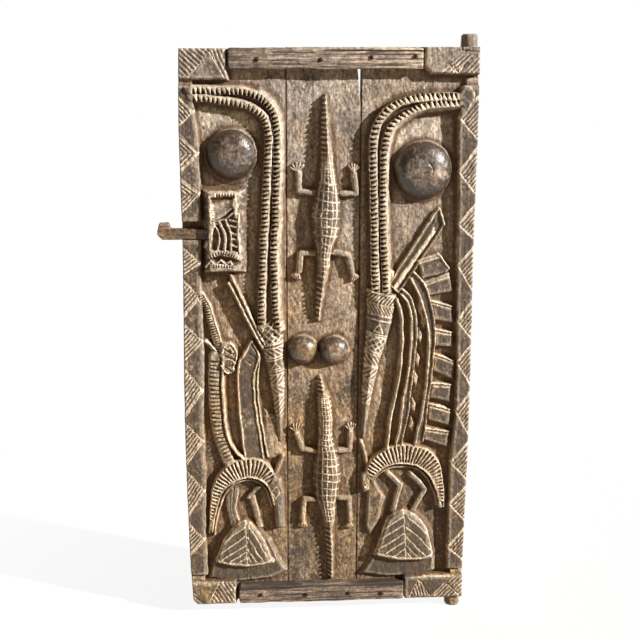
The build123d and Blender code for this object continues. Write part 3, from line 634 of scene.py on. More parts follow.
def carve_middle(c):
    """The middle plank: two crocodiles and a pair of domes."""
    # the dark patch at x -38, z 1160 is a painted shadow beside the upper crocodile's left flank
    c.stains_and_painted_light((-75, 1245, 30, 70, -0.35), (-38, 1160, 9, 60, -0.5), (45, 1230, 30, 60, -0.2),
            (50, 960, 30, 70, -0.1), (-80, 780, 30, 50, 0.1), (-80, 545, 30, 50, -0.2),
            (48, 560, 30, 90, -0.25), (-70, 140, 35, 60, -0.1), (50, 150, 30, 60, 0.1))
    crocodile(c, [(-25, 742, 7, 14), (-20, 800, 12, 24), (-14, 870, 17, 28), (-12, 920, 22, 31),
                  (-8, 960, 33, 33), (-8, 1000, 37, 34), (-5, 1045, 31, 33), (-5, 1090, 20, 31),
                  (-6, 1150, 15, 29), (-8, 1220, 12, 26), (-11, 1279, 6, 18)],
              [[(-74, 1100), (-73, 1058), (-18, 1053)], [(57, 1098), (62, 1052), (12, 1050)],
               [(-73, 868), (-71, 908), (-18, 912)], [(54, 864), (44, 905), (5, 912)]],
              [(-76, 1104, (-0.15, 1), 100), (56, 1102, (0.1, 1), 80), (-76, 866, (-0.4, -1), 70),
               (56, 862, (0.5, -1), 60)],
              [(0, 12), (120, 14), (190, 20), (310, 21), (400, 12), (560, 11)])
    crocodile(c, [(9, 62, 9, 16), (7, 150, 12, 19), (4, 200, 14, 21), (0, 240, 20, 23), (-4, 280, 30, 25),
                  (-3, 330, 38, 27), (-4, 370, 35, 27), (-5, 400, 28, 27), (-8, 440, 21, 26),
                  (-8, 490, 20, 25), (-12, 545, 18, 22), (-20, 598, 7, 15)],
              [[(-79, 456), (-66, 414), (-15, 408)], [(55, 456), (52, 410), (3, 408)],
               [(-66, 228), (-62, 280), (-15, 282)], [(55, 222), (52, 280), (10, 284)]],
              [(-80, 460, (-0.1, 1), 90), (56, 460, (-0.05, 1), 80), (-64, 226, (-0.1, -1), 60),
               (54, 220, (-0.05, -1), 60)],
              [(0, 11), (140, 14), (200, 19), (330, 20), (380, 13), (540, 10)])
    c.dome(-65, 670, 38, 34, -0.5, 0.9, 2.4)
    c.dome(13, 668, 38, 34, -0.55, 0.9, 2.4)


def carve_right(c):
    """The right plank: border, arch, dome, spear, finned figure, antelope and mound."""
    # the pale patch at x 96, z 130 is painted light, lifting the ground that lies in the mound's shadow
    c.stains_and_painted_light((170, 1175, 30, 70, 0.45), (230, 1215, 60, 25, 0.2), (120, 1290, 60, 20, -0.2),
            (240, 1310, 50, 15, 0.2), (180, 935, 45, 50, -0.4), (170, 1030, 30, 40, -0.1),
            (255, 930, 20, 40, 0.1), (130, 620, 14, 60, 0.2), (120, 470, 20, 40, 0.2),
            (260, 300, 20, 40, 0.3), (100, 230, 20, 50, 0.2), (96, 130, 14, 45, 0.9))
    c.form(RIGHT_RIM + [(380, 1303), (380, 78)], 20, slope=4, tone=-0.9)
    zigzag(c, 1, [1288, 1168, 1035, 933, 799, 683, 562, 431, 315, 201, 92],
           [1228, 1103, 975, 875, 738, 632, 505, 370, 258, 140], RIGHT_RIM, {})
    c.line([(x - 1.5, z) for x, z in RIGHT_RIM], 0.5, 2.6)
    c.form([(380, 1420), (380, 1328), (237, 1328), (222, 1343), (220, 1420)], 23, slope=6, tone=-0.25)
    c.form([(380, 1303), (380, 1320), (318, 1320), (318, 1303)], 8, slope=5, tone=0.2)
    c.paint([(256, 1328), (300, 1372), (326, 1374), (375, 1330)], -0.8, 5, level=23)
    for start, end in (((258, 1328), (310, 1374)), ((272, 1327), (324, 1375)), ((284, 1327), (334, 1372))):
        c.groove([start, end], 4.2, 2.0, 1.4, smooth=False)
    c.groove([(278, 1348), (290, 1334)], 3.8, 1.8, 1.2, smooth=False)
    c.groove([(288, 1345), (300, 1330), (312, 1346)], 4.2, 2.0, 1.4, smooth=False)
    c.hatch([(308, 1332), (338, 1372), (375, 1378), (375, 1330)], (36, 40), 8.6, 2.0, 3.6, tone=0.8)
    for x in (234, 246, 257, 266):
        c.groove([(x, 1395), (x + 2, 1345)], 3, 0.8, 0.1)
    c.groove([(306, 1395), (306, 1382), (350, 1380)], 4, 2.2, -0.4, smooth=False)
    # the rounded tongue at the top of the border
    tongue = [(309, 1222), (306, 1285), (312, 1300), (328, 1298), (338, 1284), (338, 1268), (328, 1250)]
    c.form(tongue, 23, slope=4, tone=-1.0)
    c.line([(306, 1290), (314, 1301), (328, 1299), (339, 1285), (338, 1266), (327, 1249)], 1.6, 3.2, 22)
    c.form([(380, -20), (198, -20), (198, 60), (380, 60)], 23, slope=6, tone=-1.0)
    c.line([(202, 60), (270, 58), (345, 58)], 1.7, 4.4, 22)
    c.form([(380, 60), (316, 60), (316, 80), (380, 80)], 14, slope=4, tone=0.2)
    c.hatch([(213, 6), (235, 54), (268, 6)], (-14, 46), 7.5, 2.0, 3.6)
    c.groove([(213, 4), (235, 54), (268, 6)], 3.6, 2.0, 0.85, smooth=False)
    c.hatch([(270, 4), (306, 46), (330, 60), (360, 60), (360, 4)], (40, 40), 9, 2.0, 3.8)
    c.groove([(272, 6), (306, 44), (345, 2)], 3.6, 2.0, 0.85, smooth=False)
    # arches
    outer = [(304, 1269), (255, 1269), (205, 1266), (160, 1253), (130, 1228), (115, 1195), (111, 1150),
             (112, 1080), (115, 1000), (118, 900), (122, 800)]
    inner = [(304, 1254), (255, 1253), (215, 1246), (172, 1224), (147, 1196), (136, 1150), (135, 1080),
             (136, 1000), (139, 930), (145, 808)]
    # a low ridge painted dark along the valley between the arches: painted shade between them
    c.ridge([(300, 1262), (210, 1256), (160, 1232), (128, 1190), (124, 1100), (127, 950), (136, 796)], 10, 11,
            11, 7, tone=-0.7)
    c.ridge(outer, 25, 6, 16, 1.2, tone=0.3, right_power=0.04)
    c.ridge(inner, 26, 13, 14, 1.2, tone=0.3, right_power=0.04)
    c.teeth(outer, 1.0, 15.5, 11.0, 12, gap=0.4, tone=-0.9, tips=1.1, level=20, lean=-0.25)
    c.teeth(inner, 1.0, 14.0, 11.0, 12, gap=0.4, tone=-0.9, tips=1.1, level=22, start=5, lean=-0.25)
    c.line(outer, 0.85, 3.0, 25)
    # dome
    c.dome(223, 1103, 74, 6, -0.1, 0.1)
    c.dome(223, 1106, 71, 40, -0.85, 0.85)
    for cut in ([(236, 1122), (247, 1106), (243, 1094)], [(222, 1098), (236, 1101), (247, 1106)]):
        c.groove(cut, 4, 1.8, -1.2, level=38)
    for cut in ([(262, 1096), (276, 1086), (288, 1090)],
                [(176, 1096), (200, 1089), (232, 1083), (262, 1070)]):
        c.groove(cut, 7, 1.0, -0.6, level=34)
    c.paint([(236, 1104), (268, 1086), (282, 1098), (262, 1112)], 0.2, 10, level=36)
    c.paint([(180, 1100), (212, 1108), (204, 1092), (184, 1088)], 0.15, 8, level=36)
    # spear
    c.form([(148, 829), (167, 808), (278, 976), (264, 1013), (252, 1003)], 8, slope=3, tone=-1.0)
    c.ridge([(161, 825), (207, 894), (252, 962)], 11, 3, 3, 3.6, tone=2.6, level=11)
    c.groove([(153, 830), (203, 908), (250, 984)], 4.6, 2.0, -1.3, level=11)
    c.groove([(168, 818), (217, 893), (263, 962)], 5.4, 2.0, -1.3, level=11)
    c.ridge([(147, 831), (199, 916), (252, 1002), (264, 1013)], 12.5, 2.2, 2.2, 1.0, tone=1.8, smooth=False)
    c.ridge([(169, 809), (224, 892), (278, 976), (265, 1012)], 12.5, 2.2, 2.2, 1.0, tone=1.4, smooth=False)
    c.ridge([(150, 828), (168, 811)], 12, 2.5, 2.5, 1, tone=1.0)
    c.sink([(250, 962), (258, 958), (272, 978), (264, 1002), (256, 990)], 6, 3, tone=-1.1)
    # cone
    cone(c, [(88, 438, 4, 10), (89, 480, 8, 16), (94, 540, 12, 20), (101, 600, 17, 23), (108, 650, 21, 24),
             (116, 690, 26, 25), (123, 740, 31, 25), (130, 812, 38, 24)],
         [(92, 121, "/"), (124, 150, "v"), (155, 187, "/"), (190, 219, "v"), (225, 266, "x"), (271, 306, "^"),
          (318, 372, "w")], lean=0.14)
    c.line([(146, 700), (132, 650), (118, 600), (106, 540), (97, 482)], 0.9, 4, 14)
    c.form([(142, 838), (137, 860), (146, 870), (158, 863), (156, 846)], 12, slope=5, tone=0.7)
    # fins
    fins = [[(216, 886), (265, 903), (292, 866), (287, 857), (226, 845)],
            [(230, 833), (291, 854), (304, 812), (246, 802)],
            [(252, 788), (301, 773), (307, 732), (260, 741)],
            [(262, 716), (304, 707), (308, 671), (263, 675)],
            [(262, 654), (309, 635), (312, 588), (260, 611)],
            [(258, 578), (305, 574), (303, 529), (254, 541)],
            [(254, 524), (305, 509), (303, 467), (248, 486)],
            [(244, 462), (303, 451), (301, 411), (240, 433)]]
    for fin in fins:
        c.form(fin, 12, slope=3.5, tone=-0.85, level=11)
        root = [fin[0], fin[-1]]
        c.paint(root + [(x + 5, z) for x, z in root[::-1]], 0.0, 12, level=11)
        top = fin[:3] if fin is fins[0] else fin[:2]
        c.ridge(top, 15.5, 2.6, 2.6, 1.0, tone=1.6, smooth=False)
        c.ridge([(x - 1, z - 7) for x, z in fin[:2]], 13.8, 2.0, 2.0, 0.7, tone=1.4, level=12)
        c.line([fin[-1], fin[-2]], 0.8, 2.6, 11)
        c.line([fin[1], fin[2]], 0.5, 2.4, 11)
    # ribs
    c.ridge([(166, 792), (178, 752), (182, 700), (180, 650), (175, 600), (168, 550), (158, 500), (153, 460),
             (147, 404)], 19, 4, 6, 1.8, tone=0.75)
    mid_left = [(175, 805), (195, 780), (203, 740), (204, 700), (202, 650), (197, 600), (188, 550),
                (185, 520), (178, 460), (170, 412)]
    mid_right = [(180, 815), (200, 795), (212, 760), (216, 720), (217, 690), (213, 650), (210, 600),
                 (203, 550), (200, 500), (188, 440), (185, 412)]
    out_left = [(198, 845), (222, 800), (237, 750), (247, 700), (248, 650), (246, 600), (243, 560),
                (238, 520), (228, 470), (217, 415)]
    out_right = [(205, 858), (230, 835), (245, 800), (255, 760), (261, 720), (262, 680), (260, 640),
                 (257, 600), (252, 550), (247, 500), (243, 460), (238, 425)]
    for one, two in ((mid_left, mid_right), (out_left, out_right)):
        c.form(np.vstack([curve(one), curve(two)[::-1]]), 13.5, slope=3, tone=-1.1, level=14)
        for rim in (one, two):
            c.ridge(rim, 18.5, 2.4, 2.4, 0.9, tone=1.3)
    for x, z in ((219, 765), (226, 735), (218, 700), (214, 640), (210, 590), (206, 520), (204, 470)):
        c.form([(x + 2, z + 24), (x + 13, z + 6), (x + 9, z - 18), (x - 1, z - 3)], 9, slope=5, tone=0.1,
               level=8)
        c.line([(x + 1, z + 22), (x - 1, z - 2), (x + 9, z - 18)], 0.6, 2.6, 8)
    # antelope
    back = [(92, 345), (100, 372), (120, 395), (150, 412), (190, 420), (230, 413), (262, 395), (286, 358),
            (295, 310), (299, 248)]
    belly = [(287, 248), (284, 264), (274, 300), (255, 338), (225, 361), (190, 369), (150, 363), (125, 347),
             (110, 322)]
    hide = np.vstack([curve(back), curve(belly)])
    c.form(hide, 18, slope=6, tone=0.1, bulge=3)
    c.rungs([(100, 335), (124, 370), (150, 388), (190, 396), (228, 388), (260, 364), (281, 325), (291, 262)],
            hide, 9.0, 6, gap=0.5, tone=-0.75, tips=0.85, edge=4.0)
    c.line(back[1:], 0.95, 3.4, 18)
    c.ridge(belly, 20, 2.5, 2.5, 1.2, tone=0.85)
    c.ridge([(x - (5 if x > 230 else 0), z - 8) for x, z in belly[1:]], 12, 2.5, 2.5, 1.2, tone=0.7)
    c.form([(84, 345), (100, 352), (108, 326), (104, 300), (92, 292), (86, 312)], 18, slope=5, tone=-0.1)
    c.groove([(88, 322), (97, 338), (105, 322), (96, 306)], 3.0, 1.8, 0.85, level=18, closed=True,
             smooth=False)
    c.ridge([(80, 432), (90, 404), (98, 372)], 14, 4, 4, 2, tone=0.1)
    c.line([(84, 432), (104, 374)], 0.85, 3, 14)
    c.form([(100, 326), (116, 330), (144, 278), (128, 215), (108, 182), (96, 205)], 11, slope=6, tone=-0.45,
           level=10)
    c.line([(104, 328), (96, 270), (92, 202)], 0.85, 5, 11)
    for knee in ([(148, 346), (182, 311), (166, 244)], [(207, 342), (246, 300), (214, 240)]):
        c.ridge(knee, 11, 3, 3, 4.6, tone=-1.3, power=0.4, level=11, smooth=False)
        for off, pale in ((-6.0, 0.6), (5.5, 1.9)):
            c.line([(x + off, z + off / 3) for x, z in knee], pale, 2.2, 11, smooth=False)
    # mound
    mound(c, [(165, 244), (190, 252), (222, 242), (250, 216), (268, 180), (273, 128), (274, 80), (240, 68),
              (150, 66), (86, 76), (112, 122), (125, 168), (144, 222)],
          [(168, 232), (190, 241), (216, 232), (242, 208), (258, 176), (266, 140), (269, 110), (240, 104),
           (200, 104), (160, 108), (122, 120), (126, 137), (136, 168), (150, 212)],
          [[(193, 240), (198, 180), (201, 110)], [(192, 226), (165, 208), (140, 188)],
           [(195, 204), (160, 182), (130, 160)], [(197, 182), (160, 158), (127, 136)],
           [(198, 160), (168, 140), (146, 122)], [(200, 140), (184, 128), (170, 118)],
           [(204, 224), (230, 204), (254, 176)], [(202, 198), (232, 172), (264, 134)],
           [(202, 172), (226, 146), (252, 118)], [(202, 148), (218, 130), (232, 116)],
           [(202, 130), (210, 120), (216, 113)]],
          [[(121, 130), (150, 121), (200, 112), (240, 111), (268, 120)],
           [(120, 120), (150, 112), (200, 103), (240, 102), (269, 109)]])


# ---------------------------------------------------------------- planks
# The grid's first lines from an edge, close enough to round it
EDGE_STEPS = [0.0, 0.35, 1.0, 1.9, 3.0]
EDGE_RADIUS = 3.2
# The bolt's channel, which becomes a tunnel under the housing: heights on the door, places across it, and
# heights over the ground.  NEAR tells grid lines apart, and STEP is how wide the grid makes a sheer step.
CHANNEL_LOW, TUNNEL_TOP, CHANNEL_TOP = 943.4, 971.2, 988.8
CHANNEL_END, ROOF_START, TUNNEL_TAIL = -300.0, -292.0, -220.0
CHANNEL_FLOOR, TUNNEL_ROOF = -6.4, 18.4
NEAR, STEP = 0.01, 0.3
TOP_OF_RELIEF = 39.9
PIVOT_RADIUS = 20.5
# The door's outer edges, from bottom to top
LEFT_SIDE = [(-346, 0), (-353, 150), (-357, 500), (-352, 900), (-354, 1200), (-350, 1390)]
RIGHT_SIDE = [(350, 0), (350, 140), (354, 500), (351, 900), (352, 1250), (350, 1390)]


def lines_between(stops):
    """Grid lines from a list of (start, pitch) with a last (end, None)."""
    out = []
    for (a, pitch), (b, _) in zip(stops[:-1], stops[1:]):
        n = max(1, int(round((b - a) / pitch)))
        out += list(np.linspace(a, b, n, endpoint=False))
    return out + [stops[-1][0]]


def with_edges(start, middle, end):
    """Grid lines with close lines at both ends, for the rounding of the edges."""
    body = [v for v in middle if start + EDGE_STEPS[-1] + 0.8 < v < end - EDGE_STEPS[-1] - 0.8]
    return np.array([start + s for s in EDGE_STEPS] + body + [end - s for s in reversed(EDGE_STEPS)])


def side_line(points, z):
    """Where a line that runs up the door is at a height."""
    line = curve(points)
    return np.interp(z, line[:, 1], line[:, 0])


def from_rim(x, z):
    """How far each point of a grid is from the grid's edges."""
    return np.minimum.reduce([x - x[:, :1], x[:, -1:] - x, z - z[0, 0], z[-1, 0] - z])


def hew(c, x, z):
    """Tool marks, grain and cracks over a carved face, and the uneven tone of old wood."""
    on_ground = np.clip(1 - c.h / 6, 0, 1)
    hewn = 0.9 * lumps(x, z, 17, 34, 6) + 0.6 * lumps(x, z, 8, 13, 7) + 0.35 * lumps(x, z, 4.2, 6, 8)
    stroke = lumps(0.88 * x + 0.47 * z, 0.88 * z - 0.47 * x, 4.6, 24, 3)
    hewn = 0.8 * hewn + 0.45 * stroke
    fine = 0.35 * lumps(x, z, 4.5, 7, 9) + 0.3 * lumps(x, z, 3.2, 3.8, 10)
    crack = np.clip(lumps(x, z, 5.5, 160, 11) - 0.62, 0, 1) * 2.6
    c.h += c.rough * (hewn * (0.4 + 0.6 * on_ground) + fine) - crack * c.rough
    c.tone += 0.3 * lumps(x, z, 6.5, 6, 5) + 0.24 * lumps(x, z, 15, 17, 12) + 0.26 * lumps(x, z, 3.8, 3.8, 13)
    smudge = 0.3 * lumps(x, z, 52, 70, 14) + 0.2 * lumps(x, z, 25, 32, 15)
    c.tone += on_ground * (smudge + 0.04 - 0.55 * ease((950 - z) / 850))


def plank_mesh(columns, rows, left_of, right_of, carve, joints, tunnel=False, top_drop=0.0):
    """A plank as one closed mesh: its carved face, its edges and its hewn back."""
    cols, zs = np.array(columns), np.array(rows)
    z0, x0 = np.meshgrid(zs, cols, indexing="ij")
    # near its sides the grid is moved out to the plank's own edges
    inner = 40.0
    x = x0 + (left_of(zs) - cols[0])[:, None] * np.clip(1 - (cols - cols[0]) / inner, 0, 1)
    x = x + (right_of(zs) - cols[-1])[:, None] * np.clip(1 - (cols[-1] - cols) / inner, 0, 1)
    z = z0 - top_drop * ease((z0 - 1330) / 60)
    c = Carving(x, z)
    carve(c)
    hew(c, x.ravel(), z.ravel())
    h, tone, shine = (v.reshape(x.shape) for v in (c.h, c.tone, c.shine))
    h = 0.8 * h + 0.2 * blurred(h, 1)
    # rounded edges
    radius = EDGE_RADIUS * (1 + 0.4 * lumps(x, z, 30, 30, 12))
    t = np.clip(1 - from_rim(x, z) / radius, 0, 1)
    h = h - radius * (1 - np.sqrt(np.maximum(1 - t * t, 0)))
    h = np.minimum(h, TOP_OF_RELIEF)
    if tunnel:
        in_channel = ((zs > CHANNEL_LOW - NEAR) & (zs < CHANNEL_TOP + NEAR))[:, None]
        channel = in_channel & (cols <= CHANNEL_END + NEAR)
        mouth = in_channel & (zs < TUNNEL_TOP + NEAR)[:, None] & (np.abs(cols - ROOF_START) < NEAR)
        cover = (np.abs(zs - 957) < 16)[:, None] & (cols > ROOF_START + NEAR) & (cols < TUNNEL_TAIL + 4)
        rim = in_channel & (cols > CHANNEL_END + NEAR) & (cols < ROOF_START - NEAR)
        h[channel] = CHANNEL_FLOOR
        h[mouth] = TUNNEL_ROOF
        h[cover] = np.maximum(h[cover], TUNNEL_ROOF + 1.2)
        h[rim] = np.minimum(h[rim], TUNNEL_ROOF)
    # wear: how far a point stands above the ground round it, pale edge wear over 0 and painted shade in
    # creases under 0; the hollow value: how deep a point sits, darkened as dirt and painted shade in
    # recesses, and the joints are dark too
    wear = np.clip((h - blurred(h, 3)) / 1.5, -1, 1) * (1 - np.clip(shine, 0, 1))
    hollow_dirt_and_shade = np.clip((blurred(h, 6) - h) / 7.0 - 0.08, 0, 1)
    for joint in joints:
        hollow_dirt_and_shade = np.maximum(hollow_dirt_and_shade, 1.2 * ease(1.25 - np.abs(x - joint) / 3.2))
    if tunnel:
        # the channel's floor is darkened a little: painted shade in the channel
        wear[channel], hollow_dirt_and_shade[channel] = 0, 0.35
    for border in (np.s_[:, 0], np.s_[:, -1], np.s_[0, :], np.s_[-1, :]):
        tone[border] = 0.3 * lumps(x[border], z[border], 40, 60, 6) - 0.25
        wear[border], shine[border] = 0, 0

    front = np.stack([x - PIVOT_X, GROUND_Y - h, z], -1).reshape(-1, 3)
    n_rows, n_cols = x.shape
    index = np.arange(n_rows * n_cols).reshape(n_rows, n_cols)
    cells = np.stack([index[:-1, :-1], index[:-1, 1:], index[1:, 1:], index[1:, :-1]], -1)
    keep = np.ones(cells.shape[:2], bool)
    if tunnel:
        in_rows = (zs[:-1] > CHANNEL_LOW - NEAR) & (zs[1:] < TUNNEL_TOP + NEAR)
        in_cols = (cols[:-1] > CHANNEL_END - NEAR) & (cols[1:] < ROOF_START + NEAR)
        keep &= ~(in_rows[:, None] & in_cols)
    faces = cells[keep].tolist()
    # back, with every fourth line
    ri, ci = (sorted(set(range(0, n, 4)) | {n - 1}) for n in (n_rows, n_cols))
    bx, bz = x[np.ix_(ri, ci)], z[np.ix_(ri, ci)]
    hewn_back = 0.9 * (1 + lumps(bx, bz, 38, 60, 13)) + 0.6 * (1 + lumps(bx, bz, 14, 70, 14))
    by = BACK_Y - 0.2 - hewn_back - 2.5 * np.clip(1 - from_rim(bx, bz) / 4, 0, 1)
    back = np.stack([bx - PIVOT_X, by, bz], -1).reshape(-1, 3)
    bi = len(front) + np.arange(len(back)).reshape(len(ri), len(ci))
    faces += np.stack([bi[:-1, :-1], bi[1:, :-1], bi[1:, 1:], bi[:-1, 1:]], -1).reshape(-1, 4).tolist()
    # sides and ends
    front_i, back_i = index.tolist(), bi.tolist()
    for a, (r0, r1) in enumerate(zip(ri[:-1], ri[1:])):
        run = range(r0, r1 + 1)
        faces.append([front_i[r][0] for r in run] + [back_i[a + 1][0], back_i[a][0]])
        faces.append([front_i[r][-1] for r in run[::-1]] + [back_i[a][-1], back_i[a + 1][-1]])
    for a, (c0, c1) in enumerate(zip(ci[:-1], ci[1:])):
        faces.append(front_i[0][c0:c1 + 1][::-1] + back_i[0][a:a + 2])
        faces.append(front_i[-1][c0:c1 + 1] + back_i[-1][a:a + 2][::-1])
    points = [front, back]
    if tunnel:
        first = len(front) + len(back)
        points.append(np.array([(TUNNEL_TAIL - PIVOT_X, GROUND_Y - level, height)
                                for height in (CHANNEL_LOW, TUNNEL_TOP)
                                for level in (CHANNEL_FLOOR, TUNNEL_ROOF)]))
        low_floor, low_roof, top_floor, top_roof = range(first, first + 4)
        r_low, r_top = (int(np.argmin(np.abs(zs - v))) for v in (CHANNEL_LOW, TUNNEL_TOP))
        c_end, c_roof = (int(np.argmin(np.abs(cols - v))) for v in (CHANNEL_END, ROOF_START))
        climb = range(r_low, r_top + 1)
        faces += [[front_i[r][c_end] for r in climb] + [top_floor, low_floor],
                  [front_i[r][c_roof] for r in climb[::-1]] + [low_roof, top_roof],
                  front_i[r_top][c_end:c_roof + 1] + [top_roof, top_floor],
                  front_i[r_low][c_end:c_roof + 1][::-1] + [low_floor, low_roof],
                  [low_floor, top_floor, top_roof, low_roof]]
    pad = sum(len(p) for p in points[1:])
    data = {key: np.concatenate([values.ravel(), np.full(pad, at_back)]) for key, values, at_back in
            (("tone", tone, 0.0), ("shine", shine, 0.0), ("wear", wear, 0.0), ("hollow_dirt_and_shade", hollow_dirt_and_shade, 0.1))}
    # the four points at the tunnel's far end are fully dark: painted shade inside the tunnel
    if tunnel:
        data["hollow_dirt_and_shade"][-4:] = 1.0
    return np.vstack(points), faces, data


def build(name, verts, faces, data, sharp=50, extra=()):
    """A mesh object from points in millimetres, with its surface values as attributes.

    extra holds more (points, faces), which take plain surface values.
    """
    mesh = bpy.data.meshes.new(name)
    all_verts, all_faces = [], []
    for some_verts, some_faces in [(verts, faces), *extra]:
        first = len(all_verts)
        all_verts += (np.asarray(some_verts) / MM).tolist()
        all_faces += [[first + v for v in f] for f in some_faces]
    mesh.from_pydata(all_verts, [], all_faces)
    for key, values in data.items():
        plain = np.full(len(all_verts) - len(values), -0.3 if key == "tone" else 0.0)
        values = np.concatenate([values, plain])
        mesh.attributes.new(key, "FLOAT", "POINT").data.foreach_set("value", values.astype(np.float32))
    bm = bmesh.new()
    bm.from_mesh(mesh)
    bmesh.ops.recalc_face_normals(bm, faces=bm.faces)
    bm.to_mesh(mesh)
    bm.free()
    # on the boards, batten ends and bolt, faces with many corners are flat
    for p in mesh.polygons:
        p.use_smooth = len(p.vertices) < 5 or not data
    mesh.set_sharp_from_angle(angle=math.radians(sharp))
    obj = bpy.data.objects.new(name, mesh)
    bpy.context.scene.collection.objects.link(obj)
    return obj


def skin(rings):
    """A closed surface through rings of points that all have the same count."""
    rings = [np.asarray(r) for r in rings]
    n = len(rings[0])
    verts = np.vstack(rings)
    faces = []
    for k in range(len(rings) - 1):
        a, b = k * n, (k + 1) * n
        faces += [[a + i, a + (i + 1) % n, b + (i + 1) % n, b + i] for i in range(n)]
    faces.append(list(range(n))[::-1])
    faces.append(list(range(len(verts) - n, len(verts))))
    return verts, faces


def peg(z0, z1, rounded_top):
    """A whittled round pivot, flattened a little by its knife cuts."""
    turn = np.linspace(0, 2 * math.pi, 64, endpoint=False)
    tip = z1 if rounded_top else z0
    rings = []
    for z in z0 + (z1 - z0) * np.linspace(0, 1, 22):
        level, arc = np.full(len(turn), z), turn * PIVOT_RADIUS
        r = PIVOT_RADIUS - 5 * max(0, 1 - abs(tip - z) / 5) ** 2
        cut = 0.5 * (1 + lumps(arc, level, 7, 26, 5)) + 0.3 * (1 + lumps(arc, level, 3, 9, 6))
        cut[0] = (cut[1] + cut[-1]) / 2
        flats = 19.7 / np.maximum(np.abs(np.cos(turn)), np.abs(np.sin(turn)))
        rr = np.minimum(r, flats * r / PIVOT_RADIUS) - cut
        rings.append(np.stack([rr * np.cos(turn), rr * np.sin(turn), level], -1))
    # smaller rings close both ends
    for shrink in (0.75, 0.4 / 0.75, 0.1 / 0.4):
        narrow = np.array([shrink, shrink, 1.0])
        rings = [rings[0] * narrow] + rings + [rings[-1] * narrow]
    return skin(rings)


# ---------------------------------------------------------------- materials
def srgb(*channels):
    """A colour of 0 to 255 as Blender's linear one."""
    values = [v / 255 for v in channels]
    return [v / 12.92 if v <= 0.04045 else ((v + 0.055) / 1.055) ** 2.4 for v in values] + [1.0]


class Shader:
    """The nodes of a material or of the world."""

    def __init__(self, owner):
        self.owner = owner
        owner.use_nodes = True
        self.tree = owner.node_tree
        self.tree.nodes.clear()

    def add(self, kind, inputs, **settings):
        """A node, with sockets or plain values for its inputs."""
        node = self.tree.nodes.new(kind)
        for key, value in settings.items():
            setattr(node, key, value)
        for key, value in inputs.items():
            if isinstance(value, bpy.types.NodeSocket):
                self.tree.links.new(value, node.inputs[key])
            else:
                node.inputs[key].default_value = value
        return node

    def stretched(self, scale):
        place = self.add("ShaderNodeTexCoord", {}).outputs["Object"]
        return self.add("ShaderNodeMapping", {"Vector": place, "Scale": scale}).outputs["Vector"]

    def noise(self, at, scale, detail, roughness=0.55):
        return self.add("ShaderNodeTexNoise", {"Vector": at, "Scale": scale, "Detail": detail,
                                               "Roughness": roughness}).outputs["Fac"]

    def value(self, name):
        return self.add("ShaderNodeAttribute", {}, attribute_name=name).outputs["Fac"]

    def math(self, operation, a, b):
        return self.add("ShaderNodeMath", {0: a, 1: b}, operation=operation).outputs[0]

    def fit(self, value, low, high, to_low=0.0, to_high=1.0):
        return self.add("ShaderNodeMapRange", {"Value": value, "From Min": low, "From Max": high,
                                               "To Min": to_low, "To Max": to_high}).outputs["Result"]

    def blend(self, amount, a, b, kind="MIX"):
        node = self.add("ShaderNodeMix", {0: amount, 6: a, 7: b}, data_type="RGBA", blend_type=kind)
        return node.outputs[2]

    def close(self, colour, roughness, bumps, specular, metallic=0.0):
        """The material, with bumps as (height, strength, distance)."""
        normal = None
        for height, strength, distance in bumps:
            inputs = {"Height": height, "Strength": strength, "Distance": distance}
            if normal is not None:
                inputs["Normal"] = normal
            normal = self.add("ShaderNodeBump", inputs).outputs["Normal"]
        shader = self.add("ShaderNodeBsdfPrincipled", {"Base Color": colour, "Roughness": roughness,
                                                       "Normal": normal, "Specular IOR Level": specular,
                                                       "Metallic": metallic})
        self.add("ShaderNodeOutputMaterial", {"Surface": shader.outputs[0]})
        return self.owner


